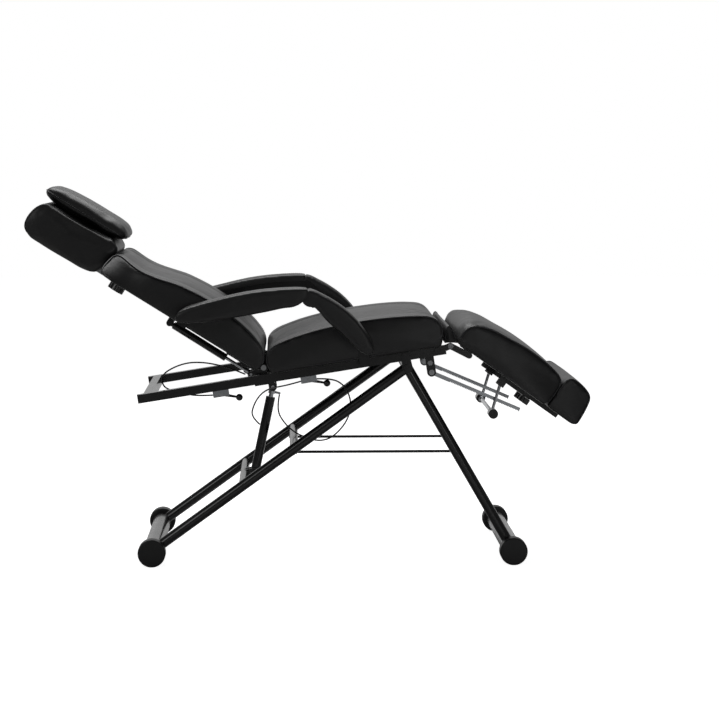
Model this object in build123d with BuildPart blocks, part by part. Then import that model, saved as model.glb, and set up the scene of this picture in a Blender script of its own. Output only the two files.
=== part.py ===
from build123d import *
import os
from math import cos, pi, radians, sin, tan

os.makedirs("parts", exist_ok=True)

# Whole chair: floor at Z = 0, foot end towards +X, left of the sitter towards +Y
foot_span = 1043
half_width = 295
seat_pitch = 9
back_slope = 32
leg_slope = 35.5

# Clearances and general small sizes
running_gap = 0.05
soft_gap = 0.4
open_gap = 0.3
overrun = 4

# Foot bars and their end caps
foot_half = 300
foot_bar_radius = 27
foot_bar_wall = 2
cap_radius = 40
cap_length = 39.5
cap_end = 4
cap_round = 5
cap_flat = 0.5

# Crossed side tubes of the base
tube_radius = 15
tube_wall = 1.5
tube_y = 245
apex_forward = 736
apex_height = 570
apex_half = 262
apex_plug = 30
crossbar_radius = 12.5
brace_crossbar_share = 0.557
strut_crossbar_share = 0.356
leg_crossbar_share = 0.48

# Tie rods between the hanging tabs and the front legs
tie_radius = 4
tie_y = 168
tab_thick = 5
tab_radius = 9
tab_drop = 20
tie_tail = 14
nut_radius = 7
nut_thick = 6

# Seat pivot at the top of the base
pivot_bolt_radius = 6
pivot_head_radius = 11
pivot_head_thick = 6
lug_thick = 4
lug_radius = 15

# Lift strut
strut_foot_s = 32
strut_foot_rise = 6
strut_head_ahead = 12.4
strut_head_n = -18.3
strut_plate_y = 14
strut_plate_thick = 5
strut_pin_radius = 5
strut_eye_radius = 12
strut_eye_half = 13
strut_radius = 14
strut_length = 229
strut_rod_radius = 7
strut_rod_inside = 110
strut_rod_spare = 12
strut_fork_radius = 10
strut_fork_length = 22
strut_head_radius = 11
strut_head_half = 8

# Seat frame: square rails and what is welded to them
rail_side = 25
rail_wall = 1.5
rail_y = 250
rail_n = 33.5
rail_behind = 366.9
rail_ahead = 4.3
plug_length = 14
rear_bar_inset = 27
front_bar_inset = 45
pivot_plate_behind = 31.9
pivot_plate_ahead = 25.1
pivot_plate_thick = 4
cheek_y = 25
cheek_thick = 4
cheek_radius = 12

# Backrest hinge and gas spring between backrest and seat
hinge_setback = 11.8
hinge_n = 63.6
ear_radius = 8.5
ear_thick = 4
ear_y = 229
leaf_thick = 3
leaf_length = 110
leaf_width = 26
hinge_bolt_radius = 5
bolt_head_radius = 8
bolt_head_thick = 5
spring_top_u = 297.6
spring_top_v = -53.9
spring_low_behind = 45.9
spring_low_n = 29.4
spring_radius = 11
spring_wall = 2
spring_length = 197
spring_rod_radius = 5
spring_rod_inside = 110
spring_pin_radius = 4
spring_eye_radius = 9
spring_eye_half = 8
spring_cheek_thick = 3
spring_cheek_radius = 10
spring_head_radius = 8
spring_head_start = 22
spring_ear_radius = 10
spring_ear_foot = 30

# Leg rest hinge, racks and latch
leg_hinge_ahead = 14.3
leg_hinge_n = 43
leg_ear_radius = 9
leg_leaf_y = 267
leg_leaf_thick = 4
leg_leaf_length = 60
leg_leaf_width = 24
rack_pivot_inset = 45.5
rack_pivot_n = -34.6
rack_y = 160
rack_thick = 5
rack_height = 11.5
rack_back = 10
rack_front = 282
rack_slope = 23.1
rack_drop = 1
rack_tooth = 5
rack_tooth_depth = 3
rack_tooth_start = 60
rack_eye_radius = 9
hanger_width = 26
hanger_thick = 4
hanger_y = 163.5
yoke_w = 194.6
yoke_pin_v = -9
yoke_width = 25
yoke_inner_y = 164
yoke_outer_y = 177.5
yoke_pin_radius = 3
yoke_thick = 2.5
latch_rod_y = 172
latch_rod_radius = 4.5
latch_knuckle_radius = 7
latch_reach = 28
latch_depth = 81
latch_bar_radius = 6
latch_collar_radius = 8
latch_collar_half = 8
peg_radius = 3
peg_gap = 1.6
grip_radius = 14
grip_length = 46
grip_end_y = 226

# Upholstered boards and cushions
board_thick = 12
board_margin = 22
seat_crown = 11
back_crown = 8
leg_crown = 8
side_draw = 5
rim = 9
seat_length = 510
seat_height = 110
back_height = 100
leg_height = 106
back_length = 539
leg_length = 326
foot_length = 101
foot_gap = 2

# Headrest, face pillow, post and lock knobs
head_gap = 13
head_length = 252
head_half = 150
head_crown = 6
pillow_overlap = 5
pillow_length = 266
pillow_half = 120
post_side = 21.9
post_wall = 2
sleeve_side = 25
sleeve_length = 140
sleeve_inset = 19
post_inside = 122
post_reach = 148
knob_radius = 25
knob_thick = 18
knob_scallop = 6
knob_stem_radius = 4
head_knob_inset = 34
foot_sleeve_side = 20
foot_sleeve_length = 178
foot_sleeve_inset = 8
foot_bar_side = 16.9
foot_bar_inside = 128
foot_bar_reach = 87
foot_pad_inset = 6
foot_knob_inset = 20

# Armrests: steel layers outside the cushions, then the pads
arm_layer = 4
arm_layer_gap = 1
arm_inner_y = 295.5
arm_pad_y = 309
arm_pad_width = 80
arm_edge_round = 12
arm_strip_radius = 11
arm_bolt_radius = 4
arm_bolt_head = 8
arm_bolt_head_thick = 3.5
arm_front_s = -118.7
arm_front_n = 81.6
arm_rear_u = 265.7
arm_rear_v = 2.6
arm_bend_forward = 458
arm_bend_height = 776
arm_bend_round = 27
arm_upper_length = 381
arm_front_length = 206
arm_spacer_radius = 10
bracket_width = 30

# Hand levers and release arms of the two gas springs
lever_y = 250
back_lever_s = -540
lift_lever_s = -285
lever_bracket_length = 46
lever_bracket_depth = 19
lever_bracket_thick = 3
lever_gap = 6
lever_thick = 5
lever_pin_n = 9
lever_pin_radius = 3
lever_length = 50
lever_drop = 17
lever_width = 5
lever_ball = 10
release_radius = 3
release_length = 24
release_thick = 4
release_pin_radius = 2

# Cables, held at both ends, along points of their routes (X, Y, Z)
cable_radius = 2.25
cable_arc_share = 0.45
cable_routes = {
    "back_cable": ((
        (-343.5, -250.0, 491.8), (-388, -235, 488), (-425, -208, 491), (-461, -177, 495),
        (-494, -146, 506), (-498, -114, 537), (-464, -90, 557), (-424, -67, 568),
        (-381, -48, 567), (-338, -33, 558), (-297, -14, 545), (-256, 0, 526)),),
    "lift_cables": ((
        (-154, 12.3, 464), (-163, 7, 418), (-141, -8, 381), (-111, -29, 355), (-76, -54, 342),
        (-40, -82, 335), (-6, -109, 345), (22, -133, 372), (43, -157, 404), (55, -178, 442),
        (51, -200, 482), (33, -222, 517), (-1, -242, 538), (-45.3, -250, 537.9)), (
        (-91.5, -250, 530.7), (-128, -226, 518), (-152, -187, 509), (-172, -146, 501),
        (-192, -106, 490), (-213, -70, 470), (-231, -43, 438), (-239, -16, 400), (-213.4, 0, 375.4)))}

# Vinyl flap between seat and leg rest
flap_thick = 2
flap_half = 286
flap_height = 72

bar_half = foot_half - cap_end
foot_x = foot_span / 2
foot_bar_z = cap_radius - cap_flat
apex_x = apex_forward - foot_x
rail_half = rail_side / 2
rail_top = rail_n + rail_half
rail_low = rail_n - rail_half
rail_inner = rail_y - rail_half
rail_outer = rail_y + rail_half
layer_0_out = arm_inner_y + arm_layer
layer_1_in = layer_0_out + arm_layer_gap
layer_1_out = layer_1_in + arm_layer
layer_2_in = layer_1_out + arm_layer_gap / 2
layer_2_out = arm_pad_y
lever_half = lever_thick / 2
lever_cheek_y = lever_gap / 2
lever_cheek_out = lever_cheek_y + lever_bracket_thick
hands = ((-1, "right"), (1, "left"))

# Places along the seat, the backrest and the leg rest, from the lengths of their cushions
seat_rear_share = -0.777
seat_nose_share = 0.221
hinge_s = seat_rear_share * seat_length - hinge_setback
strut_head_s = hinge_s + strut_head_ahead
spring_low_s = hinge_s - spring_low_behind
pivot_plate_back_s = hinge_s - pivot_plate_behind
pivot_plate_front_s = hinge_s + pivot_plate_ahead
rail_back_s = hinge_s - rail_behind
rail_front_s = seat_nose_share * seat_length + rail_ahead
rear_bar_s = rail_back_s + rear_bar_inset
front_bar_s = rail_front_s - front_bar_inset
rack_pivot_s = rail_front_s - rack_pivot_inset
leg_hinge_s = rail_front_s + leg_hinge_ahead
head_start = back_length + head_gap
pillow_start = back_length - pillow_overlap
sleeve_end = back_length - sleeve_inset
sleeve_start = sleeve_end - sleeve_length
post_start = sleeve_end - post_inside
post_end = head_start + post_reach
head_knob_u = sleeve_end - head_knob_inset
foot_start = leg_length + foot_gap
foot_sleeve_end = leg_length - foot_sleeve_inset
foot_sleeve_start = foot_sleeve_end - foot_sleeve_length
foot_bar_start = foot_sleeve_end - foot_bar_inside
foot_bar_end = foot_start + foot_bar_reach
foot_pad_start = foot_start + foot_pad_inset
foot_knob_w = foot_sleeve_end - foot_knob_inset


# Upright planes of the seat, the backrest and the leg rest
def place(plane, a, b, y=0):
    """Point of a side plane moved out to a given Y."""
    return plane.from_local_coords(Vector(a, b, y * plane.z_dir.Y))


def at_y(plane, y):
    """The side plane moved out to a given Y."""
    return plane.offset(y * plane.z_dir.Y)


def side_plane(origin, pitch, forward, facing):
    """Upright plane through a pivot, its X axis along a piece of the chair."""
    x_dir = (forward * cos(radians(pitch)), 0, sin(radians(pitch)))
    return Plane(origin=origin, x_dir=x_dir, z_dir=(0, facing, 0))


chair_side = Plane.XZ
seat_side = side_plane((apex_x, 0, apex_height), seat_pitch, 1, -1)
back_side = side_plane(place(seat_side, hinge_s, hinge_n), back_slope, -1, 1)
leg_side = side_plane(place(seat_side, leg_hinge_s, leg_hinge_n), -leg_slope, 1, -1)
rack_side = side_plane(place(seat_side, rack_pivot_s, rack_pivot_n), -rack_slope, 1, -1)


def write(piece, label):
    """Label a finished piece and save it under its own name."""
    piece.part.label = label
    export_step(piece.part, f"parts/{label}.step")


# Shapes shared by many pieces
def bar(plane, a, b, radius, y_from, y_to, mode=Mode.ADD):
    """Round bar across the chair, centred on a point of a side plane."""
    with BuildSketch(at_y(plane, y_from)) as disc:
        with Locations((a, b)):
            Circle(radius)
    extrude(disc.sketch, amount=(y_to - y_from) * plane.z_dir.Y, mode=mode)


def block(plane, a_from, a_to, b_from, b_to, y_from, y_to, mode=Mode.ADD):
    """Rectangular block between two places on each of its three axes."""
    with BuildSketch(at_y(plane, y_from)) as face:
        with Locations(((a_from + a_to) / 2, (b_from + b_to) / 2)):
            Rectangle(a_to - a_from, b_to - b_from)
    extrude(face.sketch, amount=(y_to - y_from) * plane.z_dir.Y, mode=mode)


def strap(plane, spots, y_from, y_to, mode=Mode.ADD):
    """Flat link that wraps each pair of neighbouring round spots (a, b, radius)."""
    for pair in zip(spots, spots[1:]):
        with BuildSketch(at_y(plane, y_from)) as link:
            for a, b, radius in pair:
                with Locations((a, b)):
                    Circle(radius)
            make_hull()
        extrude(link.sketch, amount=(y_to - y_from) * plane.z_dir.Y, mode=mode)


def straight(start, end, radius, mode=Mode.ADD):
    """Round bar from one point in space to another."""
    with BuildSketch(Plane(origin=start, z_dir=end - start)) as disc:
        Circle(radius)
    extrude(disc.sketch, amount=(end - start).length, mode=mode)


def hexagon(plane, a, b, radius, y_from, y_to):
    """Hexagonal nut or bolt head across the chair."""
    with BuildSketch(at_y(plane, y_from)) as nut:
        with Locations((a, b)):
            RegularPolygon(radius, 6)
    extrude(nut.sketch, amount=(y_to - y_from) * plane.z_dir.Y)


def outline(plane, y, table, length, pivot=(0, 0), grow=(1, 1), shift=(0, 0)):
    """Closed face at a given Y, of lines (two shares) and arcs (four shares)."""
    def spot(a_share, b_share):
        a = pivot[0] + (a_share * length - pivot[0]) * grow[0] + shift[0]
        b = pivot[1] + (b_share * length - pivot[1]) * grow[1] + shift[1]
        return a, b

    with BuildSketch(at_y(plane, y)) as face:
        with BuildLine():
            last = spot(*table[0])
            first = last
            for entry in table[1:]:
                if len(entry) == 2:
                    Line(last, spot(*entry))
                else:
                    ThreePointArc(last, spot(*entry[:2]), spot(*entry[2:]))
                last = spot(*entry[-2:])
            Line(last, first)
        make_face()
    return face.sketch


def cushion(plane, table, length, half, pivot, height, crown, draw, shift=(0, 0)):
    """Upholstered body: crowned across its width, drawn in towards both sides."""
    inset = (1 - 2 * draw / length, 1 - draw / height)
    sections = []
    for station_share in (-1, -0.5, 0, 0.5, 1):
        lift = 1 + crown * (1 - station_share ** 2) / height
        y = station_share * (half - rim)
        sections.append(outline(plane, y, table, length, pivot, (1, lift), shift))
    loft(sections)
    for side in (-1, 1):
        inner = outline(plane, side * (half - rim), table, length, pivot, (1, 1), shift)
        outer = outline(plane, side * half, table, length, pivot, inset, shift)
        loft([inner, outer], ruled=True)


# Foot bars with their caps
cap_inner = foot_half - cap_length
with BuildPart() as foot_bars:
    for x in (-foot_x, foot_x):
        bar(chair_side, x, foot_bar_z, foot_bar_radius, -bar_half, bar_half)
        bar(chair_side, x, foot_bar_z, foot_bar_radius - foot_bar_wall, -bar_half, bar_half,
            Mode.SUBTRACT)
write(foot_bars, "foot_bars")
with BuildPart() as foot_caps:
    for x in (-foot_x, foot_x):
        for side in (-1, 1):
            bar(chair_side, x, foot_bar_z, cap_radius, side * cap_inner, side * foot_half)
    fillet(foot_caps.edges().filter_by(GeomType.CIRCLE), radius=cap_round)
    for x in (-foot_x, foot_x):
        bar(chair_side, x, foot_bar_z, foot_bar_radius, -bar_half, bar_half, Mode.SUBTRACT)
    split(bisect_by=Plane.XY, keep=Keep.TOP)
write(foot_caps, "foot_caps")

# Side tubes that cross the apex tube
rear_foot = Vector(-foot_x, 0, foot_bar_z)
front_foot = Vector(foot_x, 0, foot_bar_z)
apex = Vector(apex_x, 0, apex_height)


def beside(point, y):
    """The same point of the mid-plane at another Y."""
    return Vector(point.X, y, point.Z)


def side_tube(foot, side):
    """Tube from a foot bar up to the apex tube, notched round both."""
    y = side * tube_y
    straight(beside(foot, y), beside(apex, y), tube_radius)
    straight(beside(foot, y), beside(apex, y), tube_radius - tube_wall, Mode.SUBTRACT)
    bar(chair_side, foot.X, foot.Z, foot_bar_radius, -foot_half, foot_half, Mode.SUBTRACT)
    bar(chair_side, apex.X, apex.Z, tube_radius, -foot_half, foot_half, Mode.SUBTRACT)


with BuildPart() as brace_tubes:
    for side in (-1, 1):
        side_tube(rear_foot, side)
        straight(beside(front_foot, side * tube_y), beside(apex, side * tube_y),
                 tube_radius, Mode.SUBTRACT)
write(brace_tubes, "brace_tubes")
with BuildPart() as front_legs:
    for side in (-1, 1):
        side_tube(front_foot, side)
write(front_legs, "front_legs")
with BuildPart() as apex_tube:
    bar(chair_side, apex_x, apex_height, tube_radius, -apex_half, apex_half)
    bar(chair_side, apex_x, apex_height, tube_radius - tube_wall,
        apex_plug - apex_half, apex_half - apex_plug, Mode.SUBTRACT)
    bar(chair_side, apex_x, apex_height, pivot_bolt_radius, -foot_half, foot_half, Mode.SUBTRACT)
write(apex_tube, "apex_tube")

# Cross bars of the base
brace_mid = rear_foot + (apex - rear_foot) * brace_crossbar_share
strut_mid = rear_foot + (apex - rear_foot) * strut_crossbar_share
leg_mid = apex + (front_foot - apex) * leg_crossbar_share
strut_foot = Vector(strut_mid.X + strut_foot_s, 0, strut_mid.Z + strut_foot_rise)
tie_z = brace_mid.Z - tab_drop


def base_crossbar(centre, tube_end):
    """Cross tube whose ends are notched round both side tubes."""
    bar(chair_side, centre.X, centre.Z, crossbar_radius, -tube_y, tube_y)
    bar(chair_side, centre.X, centre.Z, crossbar_radius - tube_wall, -tube_y, tube_y, Mode.SUBTRACT)
    for side in (-1, 1):
        straight(beside(tube_end, side * tube_y), beside(apex, side * tube_y),
                 tube_radius, Mode.SUBTRACT)


with BuildPart() as base_crossbars:
    base_crossbar(brace_mid, rear_foot)
    for side in (-1, 1):
        strap(chair_side, ((brace_mid.X, brace_mid.Z, crossbar_radius), (brace_mid.X, tie_z, tab_radius)),
              side * (tie_y - tab_radius), side * (tie_y + tab_radius))
    for side in (-1, 1):
        block(chair_side, brace_mid.X + tab_thick / 2, brace_mid.X + crossbar_radius * 2,
              tie_z - tab_radius * 2, brace_mid.Z - crossbar_radius,
              side * (tie_y - tab_radius * 2), side * (tie_y + tab_radius * 2), Mode.SUBTRACT)
        block(chair_side, brace_mid.X - crossbar_radius * 2, brace_mid.X - tab_thick / 2,
              tie_z - tab_radius * 2, brace_mid.Z - crossbar_radius,
              side * (tie_y - tab_radius * 2), side * (tie_y + tab_radius * 2), Mode.SUBTRACT)
        straight(Vector(brace_mid.X - crossbar_radius * 2, side * tie_y, tie_z),
                 Vector(brace_mid.X + crossbar_radius * 2, side * tie_y, tie_z),
                 tie_radius, Mode.SUBTRACT)
    base_crossbar(strut_mid, rear_foot)
    for side in (-1, 1):
        near = side * strut_plate_y
        far = side * (strut_plate_y + strut_plate_thick)
        strap(chair_side, ((strut_mid.X, strut_mid.Z, crossbar_radius),
                           (strut_foot.X, strut_foot.Z, strut_eye_radius)), near, far)
        bar(chair_side, strut_mid.X, strut_mid.Z, crossbar_radius - tube_wall, near, far, Mode.SUBTRACT)
        bar(chair_side, strut_foot.X, strut_foot.Z, strut_pin_radius, near, far, Mode.SUBTRACT)
    base_crossbar(leg_mid, front_foot)
    for side in (-1, 1):
        straight(Vector(leg_mid.X - crossbar_radius * 2, side * tie_y, tie_z),
                 Vector(leg_mid.X, side * tie_y, tie_z), tie_radius, Mode.SUBTRACT)
write(base_crossbars, "base_crossbars")

# Tie rods with a nut on each side of the tab
with BuildPart() as tie_rods:
    for side in (-1, 1):
        straight(Vector(brace_mid.X - tie_tail, side * tie_y, tie_z),
                 Vector(leg_mid.X, side * tie_y, tie_z), tie_radius)
        for shift in (-tab_thick / 2 - nut_thick, tab_thick / 2):
            start = Vector(brace_mid.X + shift, side * tie_y, tie_z)
            with BuildSketch(Plane(origin=start, z_dir=(1, 0, 0))):
                RegularPolygon(nut_radius, 6)
            extrude(amount=nut_thick)
write(tie_rods, "tie_rods")

# Pivot bolts of the seat and the pin at the foot of the lift strut
lug_out = rail_outer + lug_thick
strut_pin_half = strut_plate_y + strut_plate_thick
with BuildPart() as base_bolts:
    for side in (-1, 1):
        bar(chair_side, apex_x, apex_height, pivot_bolt_radius,
            side * (apex_half - apex_plug), side * (lug_out + open_gap))
        bar(chair_side, apex_x, apex_height, pivot_head_radius,
            side * (lug_out + open_gap), side * (lug_out + open_gap + pivot_head_thick))
    bar(chair_side, strut_foot.X, strut_foot.Z, strut_pin_radius, -strut_pin_half, strut_pin_half)
    for side in (-1, 1):
        bar(chair_side, strut_foot.X, strut_foot.Z, bolt_head_radius,
            side * strut_pin_half, side * (strut_pin_half + bolt_head_thick))
write(base_bolts, "base_bolts")

# Lift strut: cylinder on the base, rod towards the seat
strut_top = place(seat_side, strut_head_s, strut_head_n)
strut_axis = (strut_top - strut_foot).normalized()
strut_span = (strut_top - strut_foot).length
with BuildPart() as lift_cylinder:
    straight(strut_foot, strut_foot + strut_axis * strut_length, strut_radius)
    straight(strut_foot + strut_axis * (strut_length - strut_rod_inside),
             strut_foot + strut_axis * strut_length, strut_rod_radius + running_gap, Mode.SUBTRACT)
    bar(chair_side, strut_foot.X, strut_foot.Z, strut_eye_radius, -strut_eye_half, strut_eye_half)
    bar(chair_side, strut_foot.X, strut_foot.Z, strut_pin_radius + running_gap,
        -strut_plate_y, strut_plate_y, Mode.SUBTRACT)
    for side in (-1, 1):
        block(chair_side, strut_foot.X - strut_radius * 2, strut_foot.X + strut_radius * 2,
              strut_foot.Z - strut_radius * 2, strut_foot.Z + strut_radius * 2,
              side * strut_eye_half, side * (strut_plate_y + strut_plate_thick * 2), Mode.SUBTRACT)
write(lift_cylinder, "lift_cylinder")


def release_pin(spot, near):
    """Pin with a head, on the side of a gas spring's head, for its release arm."""
    bar(chair_side, spot.X, spot.Z, release_pin_radius, 0, near + release_thick + open_gap)
    bar(chair_side, spot.X, spot.Z, release_thick, near + release_thick + open_gap,
        near + release_thick * 1.5)


fork_start = strut_span - strut_fork_length
lift_release_spot = strut_foot + strut_axis * (fork_start + release_thick)
lift_release_y = strut_fork_radius + open_gap
with BuildPart() as lift_rod:
    straight(strut_foot + strut_axis * (strut_length - strut_rod_inside + strut_rod_spare),
             strut_foot + strut_axis * fork_start, strut_rod_radius)
    straight(strut_foot + strut_axis * fork_start, strut_top, strut_fork_radius)
    bar(chair_side, strut_top.X, strut_top.Z, strut_head_radius, -strut_head_half, strut_head_half)
    bar(chair_side, strut_top.X, strut_top.Z, strut_pin_radius, open_gap - cheek_y, cheek_y - open_gap)
    release_pin(lift_release_spot, lift_release_y)
write(lift_rod, "lift_rod")

# Seat rails with plastic plugs in their rear ends
with BuildPart() as seat_rails:
    for y in (-rail_y, rail_y):
        block(seat_side, rail_back_s, rail_front_s, rail_low, rail_top, y - rail_half, y + rail_half)
        block(seat_side, rail_back_s - overrun, rail_front_s - rail_wall, rail_low + rail_wall,
              rail_top - rail_wall, y - rail_half + rail_wall, y + rail_half - rail_wall, Mode.SUBTRACT)
write(seat_rails, "seat_rails")
with BuildPart() as rail_plugs:
    for y in (-rail_y, rail_y):
        block(seat_side, rail_back_s - rail_wall * 2, rail_back_s, rail_low, rail_top,
              y - rail_half, y + rail_half)
        block(seat_side, rail_back_s, rail_back_s + plug_length, rail_low + rail_wall,
              rail_top - rail_wall, y - rail_half + rail_wall, y + rail_half - rail_wall)
write(rail_plugs, "rail_plugs")

# Square cross tubes of the seat frame
with BuildPart() as seat_crossbars:
    for centre in (rear_bar_s, front_bar_s):
        block(seat_side, centre - rail_half, centre + rail_half, rail_low, rail_top,
              -rail_inner, rail_inner)
        block(seat_side, centre - rail_half + rail_wall, centre + rail_half - rail_wall,
              rail_low + rail_wall, rail_top - rail_wall, -rail_inner, rail_inner, Mode.SUBTRACT)
write(seat_crossbars, "seat_crossbars")

# Plate under the rails with cheeks for the lift strut and for the backrest spring
plate_low = rail_low - pivot_plate_thick
with BuildPart() as pivot_plate:
    block(seat_side, pivot_plate_back_s, pivot_plate_front_s, plate_low, rail_low,
          -rail_outer, rail_outer)
    for side in (-1, 1):
        near = side * cheek_y
        far = side * (cheek_y + cheek_thick)
        strap(seat_side, ((strut_head_s, plate_low - cheek_radius, cheek_radius),
                          (strut_head_s, strut_head_n, cheek_radius)), near, far)
        block(seat_side, strut_head_s - cheek_radius, strut_head_s + cheek_radius,
              plate_low - cheek_radius, plate_low, near, far)
        bar(seat_side, strut_head_s, strut_head_n, strut_pin_radius, near, far, Mode.SUBTRACT)
        strap(seat_side, ((spring_low_s + spring_ear_foot, spring_low_n, spring_ear_radius),
                          (spring_low_s, spring_low_n, spring_ear_radius)), near, far)
        block(seat_side, pivot_plate_back_s, spring_low_s + spring_ear_foot + spring_ear_radius,
              rail_low, spring_low_n, near, far)
        bar(seat_side, spring_low_s, spring_low_n, spring_pin_radius, near, far, Mode.SUBTRACT)
write(pivot_plate, "pivot_plate")

# Ears and lugs of the seat frame: backrest hinge, seat pivot, leg rest hinge, rack hangers
ear_out = ear_y + ear_thick
leaf_out = ear_y - open_gap
leaf_in = leaf_out - ear_thick
leg_leaf_out = leg_leaf_y + leg_leaf_thick
hanger_out = hanger_y + hanger_thick
hanger_half = hanger_width / 2
rack_in = rack_y - rack_thick / 2
rack_out = rack_y + rack_thick / 2
with BuildPart() as seat_lugs:
    for side in (-1, 1):
        near = side * ear_y
        far = side * ear_out
        block(seat_side, hinge_s - ear_radius, hinge_s + ear_radius, rail_top, hinge_n, near, far)
        bar(seat_side, hinge_s, hinge_n, ear_radius, near, far)
        block(seat_side, hinge_s - ear_radius, hinge_s + ear_radius, rail_top,
              rail_top + ear_thick / 2, near, side * rail_y)
        bar(seat_side, hinge_s, hinge_n, hinge_bolt_radius, near, far, Mode.SUBTRACT)
        near = side * rail_outer
        far = side * lug_out
        strap(seat_side, ((0, 0, lug_radius), (0, rail_n, rail_half)), near, far)
        bar(seat_side, 0, 0, pivot_bolt_radius + running_gap, near, far, Mode.SUBTRACT)
        strap(seat_side, ((rail_front_s - rail_side, rail_n, leg_ear_radius),
                          (leg_hinge_s, leg_hinge_n, leg_ear_radius)), near, far)
        bar(seat_side, leg_hinge_s, leg_hinge_n, hinge_bolt_radius, near, far, Mode.SUBTRACT)
        near = side * hanger_y
        far = side * hanger_out
        block(seat_side, rack_pivot_s - hanger_half, rack_pivot_s + hanger_half,
              rack_pivot_n, rail_low, near, far)
        bar(seat_side, rack_pivot_s, rack_pivot_n, hanger_half, near, far)
        bar(seat_side, rack_pivot_s, rack_pivot_n, hinge_bolt_radius, near, far, Mode.SUBTRACT)
write(seat_lugs, "seat_lugs")


# Bolts of the seat frame
def bolt(plane, a, b, radius, y_from, y_to, head_radius, head_thick):
    """Bolt across the chair with a round head at its far end."""
    outward = head_thick if y_to > y_from else -head_thick
    bar(plane, a, b, radius, y_from, y_to)
    bar(plane, a, b, head_radius, y_to, y_to + outward)


with BuildPart() as seat_bolts:
    for side in (-1, 1):
        bolt(seat_side, hinge_s, hinge_n, hinge_bolt_radius, side * (leaf_in - open_gap),
             side * ear_out, bolt_head_radius, bolt_head_thick)
        bolt(seat_side, leg_hinge_s, leg_hinge_n, hinge_bolt_radius, side * rail_outer,
             side * (leg_leaf_out + open_gap), bolt_head_radius, bolt_head_thick)
        bolt(seat_side, rack_pivot_s, rack_pivot_n, hinge_bolt_radius, side * (rack_in - open_gap),
             side * hanger_out, bolt_head_radius, bolt_head_thick)
        bar(seat_side, rack_pivot_s, rack_pivot_n, bolt_head_radius,
            side * (rack_in - open_gap - bolt_head_thick), side * (rack_in - open_gap))
        hexagon(seat_side, rack_pivot_s, (rail_low + rack_pivot_n) / 2, bolt_head_radius,
                side * hanger_out, side * (hanger_out + bolt_head_thick / 2))
        bar(seat_side, arm_front_s, arm_front_n, arm_bolt_radius, side * arm_inner_y,
            side * (arm_pad_y - open_gap))
        bar(seat_side, arm_front_s, arm_front_n, arm_bolt_head, side * layer_0_out,
            side * (layer_2_in - open_gap))
    for pivot_s in (back_lever_s, lift_lever_s):
        bar(seat_side, pivot_s, lever_pin_n, lever_pin_radius,
            -lever_y - lever_cheek_out, lever_cheek_out - lever_y)
        for side in (-1, 1):
            bar(seat_side, pivot_s, lever_pin_n, lever_width, side * lever_cheek_out - lever_y,
                side * (lever_cheek_out + lever_bracket_thick / 2) - lever_y)
write(seat_bolts, "seat_bolts")

# Toothed racks under the leg rest
rack_teeth = int((rack_front - rack_tooth_start) / rack_tooth)
for side, hand in hands:
    near = side * rack_in
    far = side * rack_out
    low = -rack_height / 2 - rack_drop
    high = rack_height / 2 - rack_drop
    with BuildPart() as rack:
        block(rack_side, -rack_back, rack_front, low, high, near, far)
        bar(rack_side, 0, 0, rack_eye_radius, near, far)
        with BuildSketch(at_y(rack_side, near)):
            for tooth in range(rack_teeth):
                start = rack_tooth_start + tooth * rack_tooth
                with BuildLine():
                    Polyline((start, low), (start + rack_tooth, low),
                             (start + rack_tooth / 2, low + rack_tooth_depth), close=True)
                make_face()
        extrude(amount=(far - near) * rack_side.z_dir.Y, mode=Mode.SUBTRACT)
        bar(rack_side, 0, 0, hinge_bolt_radius + running_gap, near, far, Mode.SUBTRACT)
    write(rack, f"rack_{hand}")

# Seat cushion in two pieces, so that the rear roll can give way to the backrest
roll_share = -0.647
seat_front_shares = (
    (roll_share, 0.0902), (roll_share, 0.2666), (-0.4216, 0.2995, -0.1863, 0.3053),
    (-0.0098, 0.2955, 0.1373, 0.2725), (0.2000, 0.2353, 0.2212, 0.1706), (0.2020, 0.0902))
seat_rear_shares = (
    (-0.7569, 0.0902), (seat_rear_share, 0.1451, -0.7718, 0.2039),
    (-0.7294, 0.2392, roll_share, 0.2666), (roll_share, 0.0902))
seat_board_shares = (-0.6, 0.18)
roll_s = roll_share * seat_length
board_back_s = seat_board_shares[0] * seat_length
board_front_s = seat_board_shares[1] * seat_length
board_half = half_width - board_margin
with BuildPart() as seat_cushion:
    cushion(seat_side, seat_front_shares, seat_length, half_width, (roll_s, rail_top),
            seat_height, seat_crown, side_draw)
    block(seat_side, board_back_s, board_front_s, rail_top - overrun,
          rail_top + board_thick, -board_half, board_half, Mode.SUBTRACT)
write(seat_cushion, "seat_cushion")
with BuildPart() as seat_cushion_rear:
    cushion(seat_side, seat_rear_shares, seat_length, half_width, (roll_s, rail_top),
            seat_height, seat_crown, side_draw)
write(seat_cushion_rear, "seat_cushion_rear")
with BuildPart() as seat_board:
    block(seat_side, board_back_s, board_front_s, rail_top,
          rail_top + board_thick, -board_half, board_half)
write(seat_board, "seat_board")

# Vinyl flap that bridges the gap to the leg rest
leg_hinge = place(seat_side, leg_hinge_s, leg_hinge_n)
flap_shares = (
    (-0.3736, 0.1944), (-0.3097, 0.7222), (-0.1667, 1.0278, -0.0139, 0.7778), (0.1667, 0.1875),
    (0.1389, 0.1806), (-0.0417, 0.7694), (-0.1667, 0.9931, -0.2819, 0.7194), (-0.3458, 0.1917))
with BuildPart() as seat_flap:
    panel = outline(chair_side, -flap_half, flap_shares, flap_height, shift=(leg_hinge.X, leg_hinge.Z))
    extrude(panel, amount=-flap_half * 2)
write(seat_flap, "seat_flap")

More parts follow.
